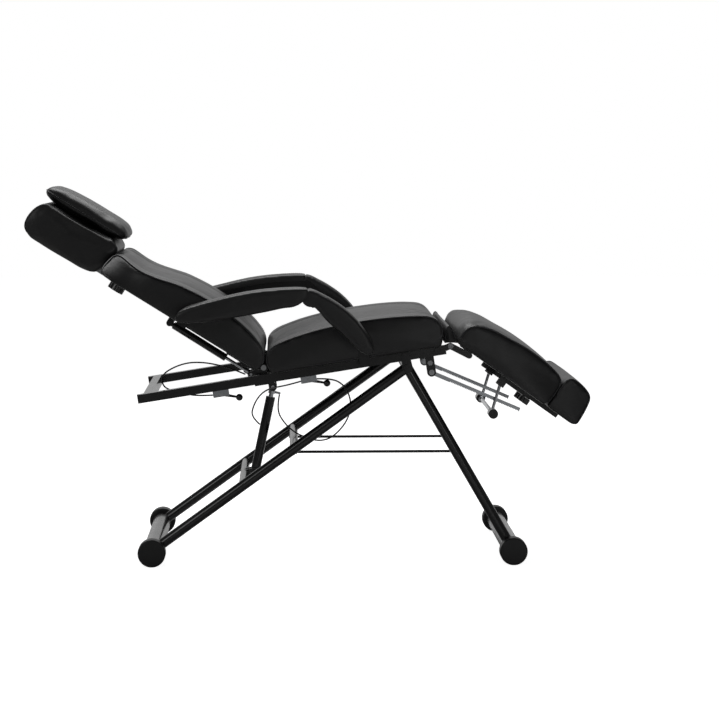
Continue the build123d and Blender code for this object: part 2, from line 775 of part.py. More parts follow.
# Backrest: cushion over a board, hung on two leaves
back_shares = (
    (0.0186, -0.0260), (0.0167, 0.0371), (0.0557, 0.0872, 0.1132, 0.1187),
    (0.2709, 0.1568, 0.4397, 0.1623), (0.5659, 0.1540, 0.6772, 0.1317),
    (0.8108, 0.1011, 0.9165, 0.1080), (0.9777, 0.1195), (1.0000, -0.0148), (0.9462, -0.0260))
back_board_shares = (0.055, 0.93)
back_low_v = back_shares[0][1] * back_length
back_mid_u = back_length / 2
board_low_u = back_board_shares[0] * back_length
board_high_u = back_board_shares[1] * back_length
with BuildPart() as back_cushion:
    cushion(back_side, back_shares, back_length, half_width, (back_mid_u, back_low_v),
            back_height, back_crown, side_draw)
    block(back_side, board_low_u, board_high_u, back_low_v - overrun,
          back_low_v + board_thick, -board_half, board_half, Mode.SUBTRACT)
write(back_cushion, "back_cushion")
with BuildPart() as back_board:
    block(back_side, board_low_u, board_high_u, back_low_v, back_low_v + board_thick,
          -board_half, board_half)
write(back_board, "back_board")

leaf_elbow_u = ear_radius / 2
with BuildPart() as back_hinge_leaves:
    for side in (-1, 1):
        near = side * leaf_in
        far = side * leaf_out
        strap(back_side, ((0, 0, ear_radius), (leaf_elbow_u, back_low_v, ear_radius),
                          (leaf_length, back_low_v - ear_radius / 2, ear_radius / 2)), near, far)
        block(back_side, ear_radius - leaf_thick, leaf_length + ear_radius, back_low_v,
              ear_radius, near, far, Mode.SUBTRACT)
        block(back_side, ear_radius + leaf_thick, leaf_length, back_low_v - leaf_thick, back_low_v,
              side * (leaf_in - leaf_width), far)
        bar(back_side, 0, 0, hinge_bolt_radius + running_gap, near, far, Mode.SUBTRACT)
write(back_hinge_leaves, "back_hinge_leaves")

# Gas spring under the backrest: bracket and cylinder on the backrest, rod to the seat
spring_top = place(back_side, spring_top_u, spring_top_v)
spring_low = place(seat_side, spring_low_s, spring_low_n)
spring_axis = (spring_low - spring_top).normalized()
spring_span = (spring_low - spring_top).length
spring_cheek_y = spring_eye_half + open_gap
spring_cheek_out = spring_cheek_y + spring_cheek_thick
bracket_low_v = back_low_v - spring_cheek_thick
with BuildPart() as spring_bracket:
    block(back_side, spring_top_u - bracket_width / 2, spring_top_u + bracket_width / 2,
          bracket_low_v, back_low_v, -bracket_width / 2, bracket_width / 2)
    for side in (-1, 1):
        near = side * spring_cheek_y
        far = side * spring_cheek_out
        block(back_side, spring_top_u - spring_cheek_radius, spring_top_u + spring_cheek_radius,
              spring_top_v, bracket_low_v, near, far)
        bar(back_side, spring_top_u, spring_top_v, spring_cheek_radius, near, far)
        bolt(back_side, spring_top_u, spring_top_v, spring_pin_radius, 0, far,
             bolt_head_radius, bolt_head_thick)
write(spring_bracket, "spring_bracket")

neck_radius = spring_eye_half - running_gap - spring_wall / 2
with BuildPart() as back_cylinder:
    straight(spring_top + spring_axis * (spring_radius + spring_wall),
             spring_top + spring_axis * spring_length, spring_radius)
    straight(spring_top, spring_top + spring_axis * (spring_radius + spring_wall * 2), neck_radius)
    bar(back_side, spring_top_u, spring_top_v, spring_eye_radius, -spring_eye_half, spring_eye_half)
    straight(spring_top + spring_axis * (spring_length - spring_rod_inside),
             spring_top + spring_axis * (spring_length + overrun),
             spring_rod_radius + running_gap, Mode.SUBTRACT)
    bar(back_side, spring_top_u, spring_top_v, spring_pin_radius + running_gap,
        -spring_cheek_out, spring_cheek_out, Mode.SUBTRACT)
write(back_cylinder, "back_cylinder")
back_release_spot = spring_low - spring_axis * (spring_head_start / 2 + release_thick)
back_release_y = spring_head_radius + open_gap
with BuildPart() as back_rod:
    straight(spring_top + spring_axis * (spring_length - spring_rod_inside / 2),
             spring_low - spring_axis * spring_head_start, spring_rod_radius)
    straight(spring_low - spring_axis * spring_head_start,
             spring_low + spring_axis * spring_head_radius, spring_head_radius)
    bar(seat_side, spring_low_s, spring_low_n, spring_pin_radius, open_gap - cheek_y, cheek_y - open_gap)
    release_pin(back_release_spot, back_release_y)
write(back_rod, "back_rod")

# Release arms beside the heads of both gas springs
back_release_end = back_release_spot + back_side.y_dir * release_length
lift_release_end = lift_release_spot + Vector(strut_axis.Z, 0, -strut_axis.X) * release_length
for name, spot, end, near in (("back", back_release_spot, back_release_end, back_release_y),
                              ("lift", lift_release_spot, lift_release_end, lift_release_y)):
    with BuildPart() as release_arm:
        strap(chair_side, ((spot.X, spot.Z, release_thick), (end.X, end.Z, release_radius)),
              near, near + release_thick)
        bar(chair_side, spot.X, spot.Z, release_pin_radius + running_gap, near,
            near + release_thick, Mode.SUBTRACT)
    write(release_arm, f"{name}_release_arm")

# Hand levers under the right rail, each in a bracket with a pin and a ball knob
ball_n = lever_pin_n - lever_drop
with BuildPart() as lever_brackets:
    for pivot_s in (back_lever_s, lift_lever_s):
        start = pivot_s - lever_bracket_length / 2
        end = pivot_s + lever_bracket_length / 2
        block(seat_side, start, end, rail_low - lever_bracket_thick, rail_low,
              -lever_y - lever_cheek_out, lever_cheek_out - lever_y)
        for side in (-1, 1):
            near = side * lever_cheek_y - lever_y
            far = side * lever_cheek_out - lever_y
            block(seat_side, start, end, rail_low - lever_bracket_depth, rail_low, near, far)
            bar(seat_side, pivot_s, lever_pin_n, lever_pin_radius, near, far, Mode.SUBTRACT)
write(lever_brackets, "lever_brackets")
for name, pivot_s in (("back", back_lever_s), ("lift", lift_lever_s)):
    with BuildPart() as hand_lever:
        strap(seat_side, ((pivot_s, lever_pin_n, lever_width),
                          (pivot_s + lever_length, ball_n, lever_width / 2)),
              -lever_half - lever_y, lever_half - lever_y)
        bar(seat_side, pivot_s, lever_pin_n, lever_pin_radius + running_gap,
            -lever_half - lever_y, lever_half - lever_y, Mode.SUBTRACT)
        with Locations(place(seat_side, pivot_s + lever_length, ball_n, -lever_y)):
            Sphere(lever_ball)
    write(hand_lever, f"{name}_hand_lever")

# Headrest on a square post that slides in a sleeve under the backrest
post_half = post_side / 2
sleeve_half = sleeve_side / 2
post_v = back_low_v - sleeve_half
post_bore_half = post_half + running_gap
with BuildPart() as head_sleeve:
    block(back_side, sleeve_start, sleeve_end, post_v - sleeve_half, post_v + sleeve_half,
          -sleeve_half, sleeve_half)
    block(back_side, sleeve_start - overrun, sleeve_end + overrun, post_v - post_bore_half,
          post_v + post_bore_half, -post_bore_half, post_bore_half, Mode.SUBTRACT)
    straight(place(back_side, head_knob_u, post_v), place(back_side, head_knob_u, post_v - sleeve_side),
             knob_stem_radius + running_gap, Mode.SUBTRACT)
write(head_sleeve, "head_sleeve")
with BuildPart() as headrest_post:
    block(back_side, post_start, post_end, post_v - post_half, post_v + post_half,
          -post_half, post_half)
    block(back_side, post_start - overrun, post_end - post_wall, post_v - post_half + post_wall,
          post_v + post_half - post_wall, post_wall - post_half, post_half - post_wall, Mode.SUBTRACT)
write(headrest_post, "headrest_post")

head_shares = (
    (0.0000, -0.0913), (0.0556, -0.1349, 0.1587, -0.1567), (0.8254, -0.1647),
    (0.9484, -0.1111, 0.9901, 0.0079), (0.9762, 0.1667, 0.8373, 0.2540), (0.1071, 0.2937),
    (0.0000, 0.2976, -0.0893, 0.2341))
head_height = 115
head_low_v = head_shares[2][1] * head_length
head_mid = head_length / 2
with BuildPart() as headrest_cushion:
    cushion(back_side, head_shares, head_length, head_half, (head_mid, head_low_v), head_height,
            head_crown, side_draw * 2, shift=(head_start, 0))
    block(back_side, head_start - head_mid, post_end, post_v - post_half, post_v + post_half,
          -post_half, post_half, Mode.SUBTRACT)
write(headrest_cushion, "headrest_cushion")

# Face pillow, thickest in the middle and thin all round its edge
pillow_shares = (
    (0.0827, 0.3150), (0.8872, 0.2744), (0.9700, 0.2932, 0.9925, 0.3459),
    (0.9624, 0.4436, 0.8797, 0.4700), (0.5075, 0.5188, 0.1504, 0.5226),
    (0.0188, 0.4887, -0.0038, 0.4211), (0.0120, 0.3500))
pillow_station_shares = ((-1, 0.8, 0.3), (-0.94, 0.93, 0.62), (-0.75, 0.99, 0.86), (-0.4, 1, 0.97),
                         (0, 1, 1), (0.4, 1, 0.97), (0.75, 0.99, 0.86), (0.94, 0.93, 0.62), (1, 0.8, 0.3))
pillow_seam_share = 0.38
with BuildPart() as face_pillow:
    stations = []
    for station_share, length_share, thick_share in pillow_station_shares:
        stations.append(outline(back_side, station_share * pillow_half, pillow_shares, pillow_length,
                                (pillow_length / 2, pillow_seam_share * pillow_length),
                                (length_share, thick_share), (pillow_start, 0)))
    loft(stations, ruled=True)
write(face_pillow, "face_pillow")


# Lock knobs: a scalloped hand knob on a screw into a sleeve
def lock_knob(plane, a, tip, sleeve_low):
    """Hand knob under a sleeve, its screw reaching up to a given height."""
    top = sleeve_low - open_gap * 2
    straight(place(plane, a, top), place(plane, a, tip), knob_stem_radius)
    with BuildSketch(Plane(origin=place(plane, a, top), z_dir=-plane.y_dir)) as face:
        Circle(knob_radius)
        with PolarLocations(knob_radius + knob_scallop / 2, 8):
            Circle(knob_scallop, mode=Mode.SUBTRACT)
    extrude(face.sketch, amount=knob_thick)


with BuildPart() as head_lock_knob:
    lock_knob(back_side, head_knob_u, post_v - post_half - running_gap * 2, post_v - sleeve_half)
write(head_lock_knob, "head_lock_knob")

# Leg rest: cushion over a board, hung on two leaves
leg_shares = (
    (0.0123, 0.0552), (0.0153, 0.1687), (0.0429, 0.2454, 0.1135, 0.3006),
    (0.2761, 0.3558, 0.5552, 0.3819), (0.7515, 0.3819, 0.9202, 0.3558),
    (0.9816, 0.3160, 0.9969, 0.2454), (0.9816, 0.0552))
leg_board_shares = (0.06, 0.955)
leg_low_v = leg_shares[0][1] * leg_length
leg_board_start = leg_board_shares[0] * leg_length
leg_board_end = leg_board_shares[1] * leg_length
with BuildPart() as leg_cushion:
    cushion(leg_side, leg_shares, leg_length, half_width, (leg_length / 2, leg_low_v),
            leg_height, leg_crown, side_draw)
    block(leg_side, leg_board_start, leg_board_end, leg_low_v - overrun, leg_low_v + board_thick,
          -board_half, board_half, Mode.SUBTRACT)
write(leg_cushion, "leg_cushion")
with BuildPart() as leg_board:
    block(leg_side, leg_board_start, leg_board_end, leg_low_v, leg_low_v + board_thick,
          -board_half, board_half)
write(leg_board, "leg_board")
leg_leaf_v = leg_low_v - leg_ear_radius
with BuildPart() as leg_hinge_leaves:
    for side in (-1, 1):
        near = side * leg_leaf_y
        far = side * leg_leaf_out
        strap(leg_side, ((0, 0, leg_ear_radius), (leg_leaf_length, leg_leaf_v, leg_ear_radius)), near, far)
        block(leg_side, leg_leaf_width, leg_leaf_length, leg_low_v - leaf_thick, leg_low_v,
              side * (leg_leaf_y - leg_leaf_width), far)
        bar(leg_side, 0, 0, hinge_bolt_radius + running_gap, near, far, Mode.SUBTRACT)
write(leg_hinge_leaves, "leg_hinge_leaves")

# Yokes under the leg rest that carry the latch
yoke_half = yoke_width / 2
yoke_outer = yoke_outer_y + yoke_thick
with BuildPart() as latch_yokes:
    for side in (-1, 1):
        block(leg_side, yoke_w - yoke_half, yoke_w + yoke_half, leg_low_v - yoke_thick, leg_low_v,
              side * yoke_inner_y, side * yoke_outer)
        for start in (yoke_inner_y, yoke_outer_y):
            near = side * start
            far = side * (start + yoke_thick)
            block(leg_side, yoke_w - yoke_half, yoke_w + yoke_half, yoke_pin_v - yoke_thick * 2,
                  leg_low_v, near, far)
        bolt(leg_side, yoke_w, yoke_pin_v, yoke_pin_radius, side * yoke_inner_y, side * yoke_outer,
             yoke_pin_radius * 2, yoke_thick)
write(latch_yokes, "latch_yokes")

# Latch: two rods with pegs under the racks, joined by a cross bar with grips
latch_w = yoke_w + latch_reach
latch_v = yoke_pin_v - latch_depth
peg_low = -rack_height / 2 - rack_drop - peg_gap - peg_radius
rod_top = rack_side.to_local_coords(place(leg_side, yoke_w, yoke_pin_v))
rod_end = rack_side.to_local_coords(place(leg_side, latch_w, latch_v))
peg_share = (peg_low - rod_top.Y) / (rod_end.Y - rod_top.Y)
peg_w = yoke_w + peg_share * latch_reach
peg_v = yoke_pin_v - peg_share * latch_depth
knuckle_in = yoke_inner_y + yoke_thick + open_gap
knuckle_out = yoke_outer_y - open_gap
latch_bar_half = grip_end_y - grip_radius / 2
with BuildPart() as latch_frame:
    bar(leg_side, latch_w, latch_v, latch_bar_radius, -latch_bar_half, latch_bar_half)
    for side in (-1, 1):
        straight(place(leg_side, yoke_w, yoke_pin_v, side * latch_rod_y),
                 place(leg_side, latch_w, latch_v, side * latch_rod_y), latch_rod_radius)
        bar(leg_side, yoke_w, yoke_pin_v, latch_knuckle_radius, side * knuckle_in, side * knuckle_out)
        bar(leg_side, latch_w, latch_v, latch_collar_radius,
            side * (latch_rod_y - latch_collar_half), side * (latch_rod_y + latch_collar_half))
        bar(leg_side, peg_w, peg_v, peg_radius, side * (rack_in - rack_thick / 2), side * latch_rod_y)
        bar(leg_side, yoke_w, yoke_pin_v, yoke_pin_radius + running_gap,
            side * yoke_inner_y, side * yoke_outer, Mode.SUBTRACT)
write(latch_frame, "latch_frame")
with BuildPart() as latch_grips:
    for side in (-1, 1):
        bar(leg_side, latch_w, latch_v, grip_radius, side * (grip_end_y - grip_length), side * grip_end_y)
    chamfer(latch_grips.edges().filter_by(GeomType.CIRCLE), length=latch_bar_radius / 4)
    bar(leg_side, latch_w, latch_v, latch_bar_radius, -latch_bar_half, latch_bar_half, Mode.SUBTRACT)
write(latch_grips, "latch_grips")

# Foot extension on a square bar that slides in a sleeve under the leg rest
foot_sleeve_half = foot_sleeve_side / 2
foot_slide_half = foot_bar_side / 2
foot_bore_half = foot_slide_half + running_gap
foot_bar_v = leg_low_v - foot_sleeve_half
with BuildPart() as foot_sleeve:
    block(leg_side, foot_sleeve_start, foot_sleeve_end, foot_bar_v - foot_sleeve_half, leg_low_v,
          -foot_sleeve_half, foot_sleeve_half)
    block(leg_side, foot_sleeve_start - overrun, foot_sleeve_end + overrun,
          foot_bar_v - foot_bore_half, foot_bar_v + foot_bore_half,
          -foot_bore_half, foot_bore_half, Mode.SUBTRACT)
    straight(place(leg_side, foot_knob_w, foot_bar_v),
             place(leg_side, foot_knob_w, foot_bar_v - foot_sleeve_side),
             knob_stem_radius + running_gap, Mode.SUBTRACT)
write(foot_sleeve, "foot_sleeve")
with BuildPart() as foot_slide:
    block(leg_side, foot_bar_start, foot_bar_end, foot_bar_v - foot_slide_half,
          foot_bar_v + foot_slide_half, -foot_slide_half, foot_slide_half)
    block(leg_side, foot_pad_start, foot_bar_end, foot_bar_v, leg_low_v,
          -foot_slide_half, foot_slide_half)
write(foot_slide, "foot_slide")
with BuildPart() as foot_lock_knob:
    lock_knob(leg_side, foot_knob_w, foot_bar_v - foot_slide_half - running_gap * 2,
              foot_bar_v - foot_sleeve_half)
write(foot_lock_knob, "foot_lock_knob")

foot_low_share = leg_low_v / foot_length
foot_shares = (
    (0.0000, foot_low_share), (0.0198, 1.1485), (0.0693, 1.2475, 0.2574, 1.2772),
    (0.5149, 1.2850, 0.7525, 1.2079), (0.9109, 1.1188, 0.9604, 0.9703), (1.0000, 0.4356),
    (0.9950, 0.2475, 0.9208, foot_low_share))
with BuildPart() as foot_cushion:
    cushion(leg_side, foot_shares, foot_length, half_width, (foot_length / 2, leg_low_v),
            leg_height, leg_crown, side_draw / 2, shift=(foot_start, 0))
write(foot_cushion, "foot_cushion")

# Armrests: brackets beside the cushions, steel links and padded arms
arm_bend_x = arm_bend_forward - foot_x
arm_front = place(seat_side, arm_front_s, arm_front_n)
arm_rear = place(back_side, arm_rear_u, arm_rear_v)
bracket_half = bracket_width / 2
rear_bracket_v = back_low_v - arm_layer
upper_shares = (
    (-0.9554, -0.1706), (-1.0000, -0.1286, -0.9449, -0.0761), (-0.6877, 0.0000, -0.4278, 0.0551),
    (-0.2231, 0.0827, -0.0341, 0.0709), (-0.0144, 0.0315), (-0.0472, -0.0210), (-0.0945, -0.0446),
    (-0.2861, -0.0866, -0.5669, -0.1339))
front_shares = (
    (0.0388, -0.1068), (-0.0243, 0.0243), (0.0680, 0.0971), (0.3107, -0.0291, 0.5388, -0.2087),
    (0.7379, -0.4466, 0.8447, -0.6553), (0.8600, -0.7480, 0.7718, -0.7621),
    (0.5150, -0.5690, 0.2233, -0.2913), (0.0971, -0.1456))
upper_strip_shares = ((-0.78, -0.09), (-0.29, -0.01))


def flat_edges(pad):
    """Edges of a pad that lie in one upright plane along the chair."""
    return [edge for edge in pad.edges() if edge.bounding_box().size.Y < arm_layer_gap]


for side, hand in hands:
    pad_in = side * arm_pad_y
    pad_out = side * (arm_pad_y + arm_pad_width)
    with BuildPart() as upper_pad:
        face = outline(chair_side, pad_in, upper_shares, arm_upper_length,
                       shift=(arm_bend_x, arm_bend_height))
        extrude(face, amount=-side * arm_pad_width)
        fillet(flat_edges(upper_pad), radius=arm_edge_round)
        bar(chair_side, arm_bend_x, arm_bend_height, arm_bend_round + soft_gap, pad_in, pad_out,
            Mode.SUBTRACT)
    write(upper_pad, f"arm_upper_pad_{hand}")
    with BuildPart() as front_pad:
        face = outline(chair_side, pad_in, front_shares, arm_front_length,
                       shift=(arm_bend_x, arm_bend_height))
        extrude(face, amount=-side * arm_pad_width)
        chamfer(flat_edges(front_pad), length=arm_edge_round * 2 / 3)
        bar(chair_side, arm_bend_x, arm_bend_height, arm_bend_round, pad_in + side * arm_edge_round / 2,
            pad_out - side * arm_edge_round / 2)
    write(front_pad, f"arm_front_pad_{hand}")
    strip = [(arm_rear.X, arm_rear.Z, arm_strip_radius)]
    for along_share, up_share in upper_strip_shares:
        strip.append((arm_bend_x + along_share * arm_upper_length,
                      arm_bend_height + up_share * arm_upper_length, arm_strip_radius))
    strip.append((arm_bend_x, arm_bend_height, arm_strip_radius))
    with BuildPart() as upper_link:
        strap(chair_side, strip, side * layer_1_in, side * layer_1_out)
        for x, z, radius in strip[1:3]:
            bar(chair_side, x, z, arm_spacer_radius, side * layer_1_out, side * arm_pad_y)
        bar(chair_side, arm_bend_x, arm_bend_height, arm_bolt_radius,
            side * layer_1_in, side * (arm_pad_y - open_gap))
        bar(chair_side, arm_bend_x, arm_bend_height, arm_bolt_head,
            side * (layer_1_in - arm_bolt_head_thick), side * layer_1_in)
        bar(chair_side, arm_rear.X, arm_rear.Z, arm_bolt_radius,
            side * (layer_0_out + open_gap), side * layer_1_out)
        bar(chair_side, arm_rear.X, arm_rear.Z, arm_bolt_head,
            side * layer_1_out, side * (layer_1_out + arm_bolt_head_thick))
    write(upper_link, f"arm_upper_link_{hand}")
    with BuildPart() as front_link:
        strap(chair_side, ((arm_bend_x, arm_bend_height, arm_strip_radius),
                           (arm_front.X, arm_front.Z, arm_strip_radius)),
              side * layer_2_in, side * layer_2_out)
        for x, z in ((arm_bend_x, arm_bend_height), (arm_front.X, arm_front.Z)):
            bar(chair_side, x, z, arm_bolt_radius + running_gap, side * layer_2_in,
                side * layer_2_out, Mode.SUBTRACT)
    write(front_link, f"arm_front_link_{hand}")
with BuildPart() as seat_arm_brackets:
    for side in (-1, 1):
        near = side * arm_inner_y
        far = side * layer_0_out
        block(seat_side, arm_front_s - bracket_half, arm_front_s + bracket_half,
              rail_n - arm_layer / 2, rail_n + arm_layer / 2, side * rail_outer, far)
        block(seat_side, arm_front_s - bracket_half, arm_front_s + bracket_half,
              rail_n - arm_layer / 2, arm_front_n, near, far)
        bar(seat_side, arm_front_s, arm_front_n, bracket_half, near, far)
        bar(seat_side, arm_front_s, arm_front_n, arm_bolt_radius, near, far, Mode.SUBTRACT)
write(seat_arm_brackets, "seat_arm_brackets")
with BuildPart() as back_arm_brackets:
    for side in (-1, 1):
        near = side * arm_inner_y
        far = side * layer_0_out
        block(back_side, arm_rear_u - bracket_half, arm_rear_u + bracket_half,
              rear_bracket_v, back_low_v, side * (rail_outer + lug_thick / 2), far)
        block(back_side, arm_rear_u - bracket_half, arm_rear_u + bracket_half,
              rear_bracket_v, arm_rear_v, near, far)
        bar(back_side, arm_rear_u, arm_rear_v, bracket_half, near, far)
        bar(back_side, arm_rear_u, arm_rear_v, arm_bolt_radius, near, far, Mode.SUBTRACT)
write(back_arm_brackets, "back_arm_brackets")

# Cables from the hand lever brackets to the heads of the gas springs
def cable(points):
    """Round cable of straight runs joined by arcs as large as the runs allow."""
    route = [Vector(point) for point in points]
    radii = []
    for before, corner, after in zip(route, route[1:], route[2:]):
        run = min((corner - before).length, (after - corner).length)
        turn = (corner - before).get_angle(after - corner)
        radii.append(cable_arc_share * run / tan(radians(turn / 2)))
    with BuildLine() as path:
        FilletPolyline(*route, radius=radii)
    with BuildSketch(Plane(origin=route[0], z_dir=route[1] - route[0])) as disc:
        Circle(cable_radius)
    wire = path.wires()[0]
    sweep(disc.sketch, path=wire)
    return min(radii), wire.length


for label, routes in cable_routes.items():
    with BuildPart() as cable_runs:
        for points in routes:
            least_radius, length = cable(points)
            print(label, "least radius", round(least_radius, 1), "length", round(length, 1),
                  "section times length", round(cable_radius ** 2 * pi * length))
    print(label, "volume", round(cable_runs.part.volume))
    write(cable_runs, label)
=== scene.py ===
"""Padded tattoo chair on a crossed tube base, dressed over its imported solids."""
import logging
from dataclasses import dataclass, field
from enum import Enum
from math import cos, exp, pi, radians, sin

import bmesh
import bpy
from mathutils import Matrix, Vector, kdtree
from mathutils.bvhtree import BVHTree


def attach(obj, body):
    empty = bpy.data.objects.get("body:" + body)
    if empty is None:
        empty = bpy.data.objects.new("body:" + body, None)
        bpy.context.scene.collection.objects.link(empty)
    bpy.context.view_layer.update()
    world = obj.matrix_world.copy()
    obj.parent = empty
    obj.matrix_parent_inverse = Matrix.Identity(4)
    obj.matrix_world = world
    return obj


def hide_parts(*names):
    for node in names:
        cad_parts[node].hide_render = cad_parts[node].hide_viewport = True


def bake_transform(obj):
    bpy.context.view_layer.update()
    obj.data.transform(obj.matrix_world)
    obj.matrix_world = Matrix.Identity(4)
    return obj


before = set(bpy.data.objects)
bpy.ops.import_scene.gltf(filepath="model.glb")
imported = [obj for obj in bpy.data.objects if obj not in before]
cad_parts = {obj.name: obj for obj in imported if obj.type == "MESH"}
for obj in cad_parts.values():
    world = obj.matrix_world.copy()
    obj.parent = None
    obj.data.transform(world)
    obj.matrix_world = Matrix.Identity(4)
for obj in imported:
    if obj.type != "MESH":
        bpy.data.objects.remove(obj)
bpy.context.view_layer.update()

LOG = logging.getLogger("tattoo_chair")
# One millimetre in the scene's metres
MM = 0.001
# Two places nearer than this, in metres, are one place
SAME_PLACE = 1e-6


def linear(code: str) -> tuple[float, float, float, float]:
    """Turn an sRGB hex colour into linear light.

    Args:
        code: Colour such as "#101012".

    Returns:
        Red, green, blue and an alpha of one.
    """
    channels = []
    for start in (1, 3, 5):
        value = int(code[start:start + 2], 16) / 255
        channels.append(value / 12.92 if value <= 0.04045 else ((value + 0.055) / 1.055) ** 2.4)
    return channels[0], channels[1], channels[2], 1.0


def add_node(
    tree: bpy.types.NodeTree,
    kind: str,
    settings: dict[str, object] | None = None,
    links: dict[str, bpy.types.NodeSocket] | None = None,
) -> bpy.types.Node:
    """Add a shader node with its settings and links.

    Args:
        tree: Node tree that gets the node.
        kind: Blender's name for the node type.
        settings: Socket values and node properties by name.
        links: Sockets that feed this node's inputs, by input name.

    Returns:
        The new node.
    """
    node = tree.nodes.new(kind)
    for name, value in (settings or {}).items():
        if name in node.inputs:
            node.inputs[name].default_value = value
        else:
            setattr(node, name, value)
    for name, socket in (links or {}).items():
        tree.links.new(socket, node.inputs[name])
    return node


def new_material(name: str) -> tuple[bpy.types.Material, bpy.types.NodeTree]:
    """Make an empty node material.

    Args:
        name: Name of the material.

    Returns:
        The material and its node tree.
    """
    material = bpy.data.materials.new(name)
    material.use_nodes = True
    material.node_tree.nodes.clear()
    return material, material.node_tree


@dataclass(frozen=True)
class VinylLeather:
    """Black polyurethane upholstery leather, embossed with a fine grain.

    Attributes:
        name: Name of the material.
        colour: Colour of the cover.
        worn: Colour on the crests of its soft creases.
        roughness: Roughness of the cover.
        smoother: How far the roughness falls in the hollows of the creases.
        rougher: How far it rises on their crests.
        grain_mm: Width of one embossed pebble.
        crease_mm: Length of a soft crease.
        pucker_mm: Length of a pucker beside a seam.
    """

    name: str = "embossed_pu_leather"
    colour: str = "#0c0c0d"
    worn: str = "#121213"
    roughness: float = 0.4
    smoother: float = 0.06
    rougher: float = 0.08
    grain_mm: float = 1.6
    crease_mm: float = 34.0
    pucker_mm: float = 11.0

    def build(self) -> bpy.types.Material:
        """Make the leather: pebbled grain, soft creases and puckers beside the seams.

        Returns:
            The finished material.
        """
        material, tree = new_material(self.name)
        place = add_node(tree, "ShaderNodeTexCoord").outputs["Object"]
        # One pebble of the embossing is drawn a little coarser than real, so that it shows
        pebbles = add_node(
            tree, "ShaderNodeTexVoronoi",
            {"feature": "DISTANCE_TO_EDGE", "Scale": 1 / (self.grain_mm * MM), "Randomness": 0.9},
            {"Vector": place})
        flat_pebble = add_node(
            tree, "ShaderNodeMapRange", {"From Min": 0.0, "From Max": 0.35},
            {"Value": pebbles.outputs["Distance"]})
        creases = add_node(
            tree, "ShaderNodeTexNoise",
            {"Scale": 1 / (self.crease_mm * MM), "Detail": 3.0, "Roughness": 0.55, "Distortion": 0.4},
            {"Vector": place})
        seam = add_node(tree, "ShaderNodeAttribute", {"attribute_name": "seam"})
        puckers = add_node(
            tree, "ShaderNodeTexNoise",
            {"Scale": 1 / (self.pucker_mm * MM), "Detail": 1.0, "Distortion": 0.8},
            {"Vector": place})
        pucker_depth = add_node(
            tree, "ShaderNodeMath", {"operation": "MULTIPLY"},
            {"Value": puckers.outputs["Fac"]})
        tree.links.new(seam.outputs["Fac"], pucker_depth.inputs[1])
        rubbed = add_node(
            tree, "ShaderNodeMix",
            {"data_type": "RGBA", "A": linear(self.colour), "B": linear(self.worn)},
            {"Factor": creases.outputs["Fac"]})
        gloss = add_node(
            tree, "ShaderNodeMapRange",
            {"To Min": self.roughness - self.smoother, "To Max": self.roughness + self.rougher},
            {"Value": creases.outputs["Fac"]})
        soft = add_node(
            tree, "ShaderNodeBump", {"Strength": 0.35, "Distance": 1.2 * MM},
            {"Height": creases.outputs["Fac"]})
        gathered = add_node(
            tree, "ShaderNodeBump", {"Strength": 0.6, "Distance": 1.5 * MM},
            {"Height": pucker_depth.outputs[0], "Normal": soft.outputs[0]})
        grained = add_node(
            tree, "ShaderNodeBump", {"Strength": 0.3, "Distance": 0.12 * MM},
            {"Height": flat_pebble.outputs[0], "Normal": gathered.outputs[0]})
        shader = add_node(
            tree, "ShaderNodeBsdfPrincipled", {"IOR": 1.5, "Specular IOR Level": 0.55},
            {"Base Color": rubbed.outputs["Result"], "Roughness": gloss.outputs[0],
             "Normal": grained.outputs[0]})
        add_node(tree, "ShaderNodeOutputMaterial", links={"Surface": shader.outputs[0]})
        return material


@dataclass(frozen=True)
class Coating:
    """A coat, plating or moulding: one colour with its own sheen and unevenness.

    Attributes:
        name: Name of the material.
        colour: Its main colour.
        second: Colour that it drifts to in patches.
        roughness: Its mean roughness.
        metallic: 1 for bare metal, else 0.
        coat: Weight of a clear gloss over it.
        speck_mm: Width of one unevenness of its surface.
        bump_mm: Height of that unevenness.
        patch_mm: Width of a patch of slightly other colour and sheen.
        sheen_shares: Least and greatest roughness, as shares of the mean.
    """

    name: str
    colour: str
    second: str
    roughness: float
    metallic: float = 0.0
    coat: float = 0.0
    speck_mm: float = 2.0
    bump_mm: float = 0.03
    patch_mm: float = 60.0
    sheen_shares: tuple[float, float] = (0.8, 1.25)

    def build(self) -> bpy.types.Material:
        """Make the finish, with slight changes of colour, sheen and surface.

        Returns:
            The finished material.
        """
        material, tree = new_material(self.name)
        place = add_node(tree, "ShaderNodeTexCoord").outputs["Object"]
        specks = add_node(
            tree, "ShaderNodeTexNoise", {"Scale": 1 / (self.speck_mm * MM), "Detail": 2.0},
            {"Vector": place})
        patches = add_node(
            tree, "ShaderNodeTexNoise", {"Scale": 1 / (self.patch_mm * MM), "Detail": 3.0},
            {"Vector": place})
        tone = add_node(
            tree, "ShaderNodeMix",
            {"data_type": "RGBA", "A": linear(self.colour), "B": linear(self.second)},
            {"Factor": patches.outputs["Fac"]})
        smoothest, roughest = [self.roughness * share for share in self.sheen_shares]
        sheen = add_node(
            tree, "ShaderNodeMapRange", {"To Min": smoothest, "To Max": roughest},
            {"Value": patches.outputs["Fac"]})
        surface = add_node(
            tree, "ShaderNodeBump", {"Strength": 0.4, "Distance": self.bump_mm * MM},
            {"Height": specks.outputs["Fac"]})
        shader = add_node(
            tree, "ShaderNodeBsdfPrincipled",
            {"Metallic": self.metallic, "Coat Weight": self.coat, "Coat Roughness": 0.08},
            {"Base Color": tone.outputs["Result"], "Roughness": sheen.outputs[0],
             "Normal": surface.outputs[0]})
        add_node(tree, "ShaderNodeOutputMaterial", links={"Surface": shader.outputs[0]})
        return material


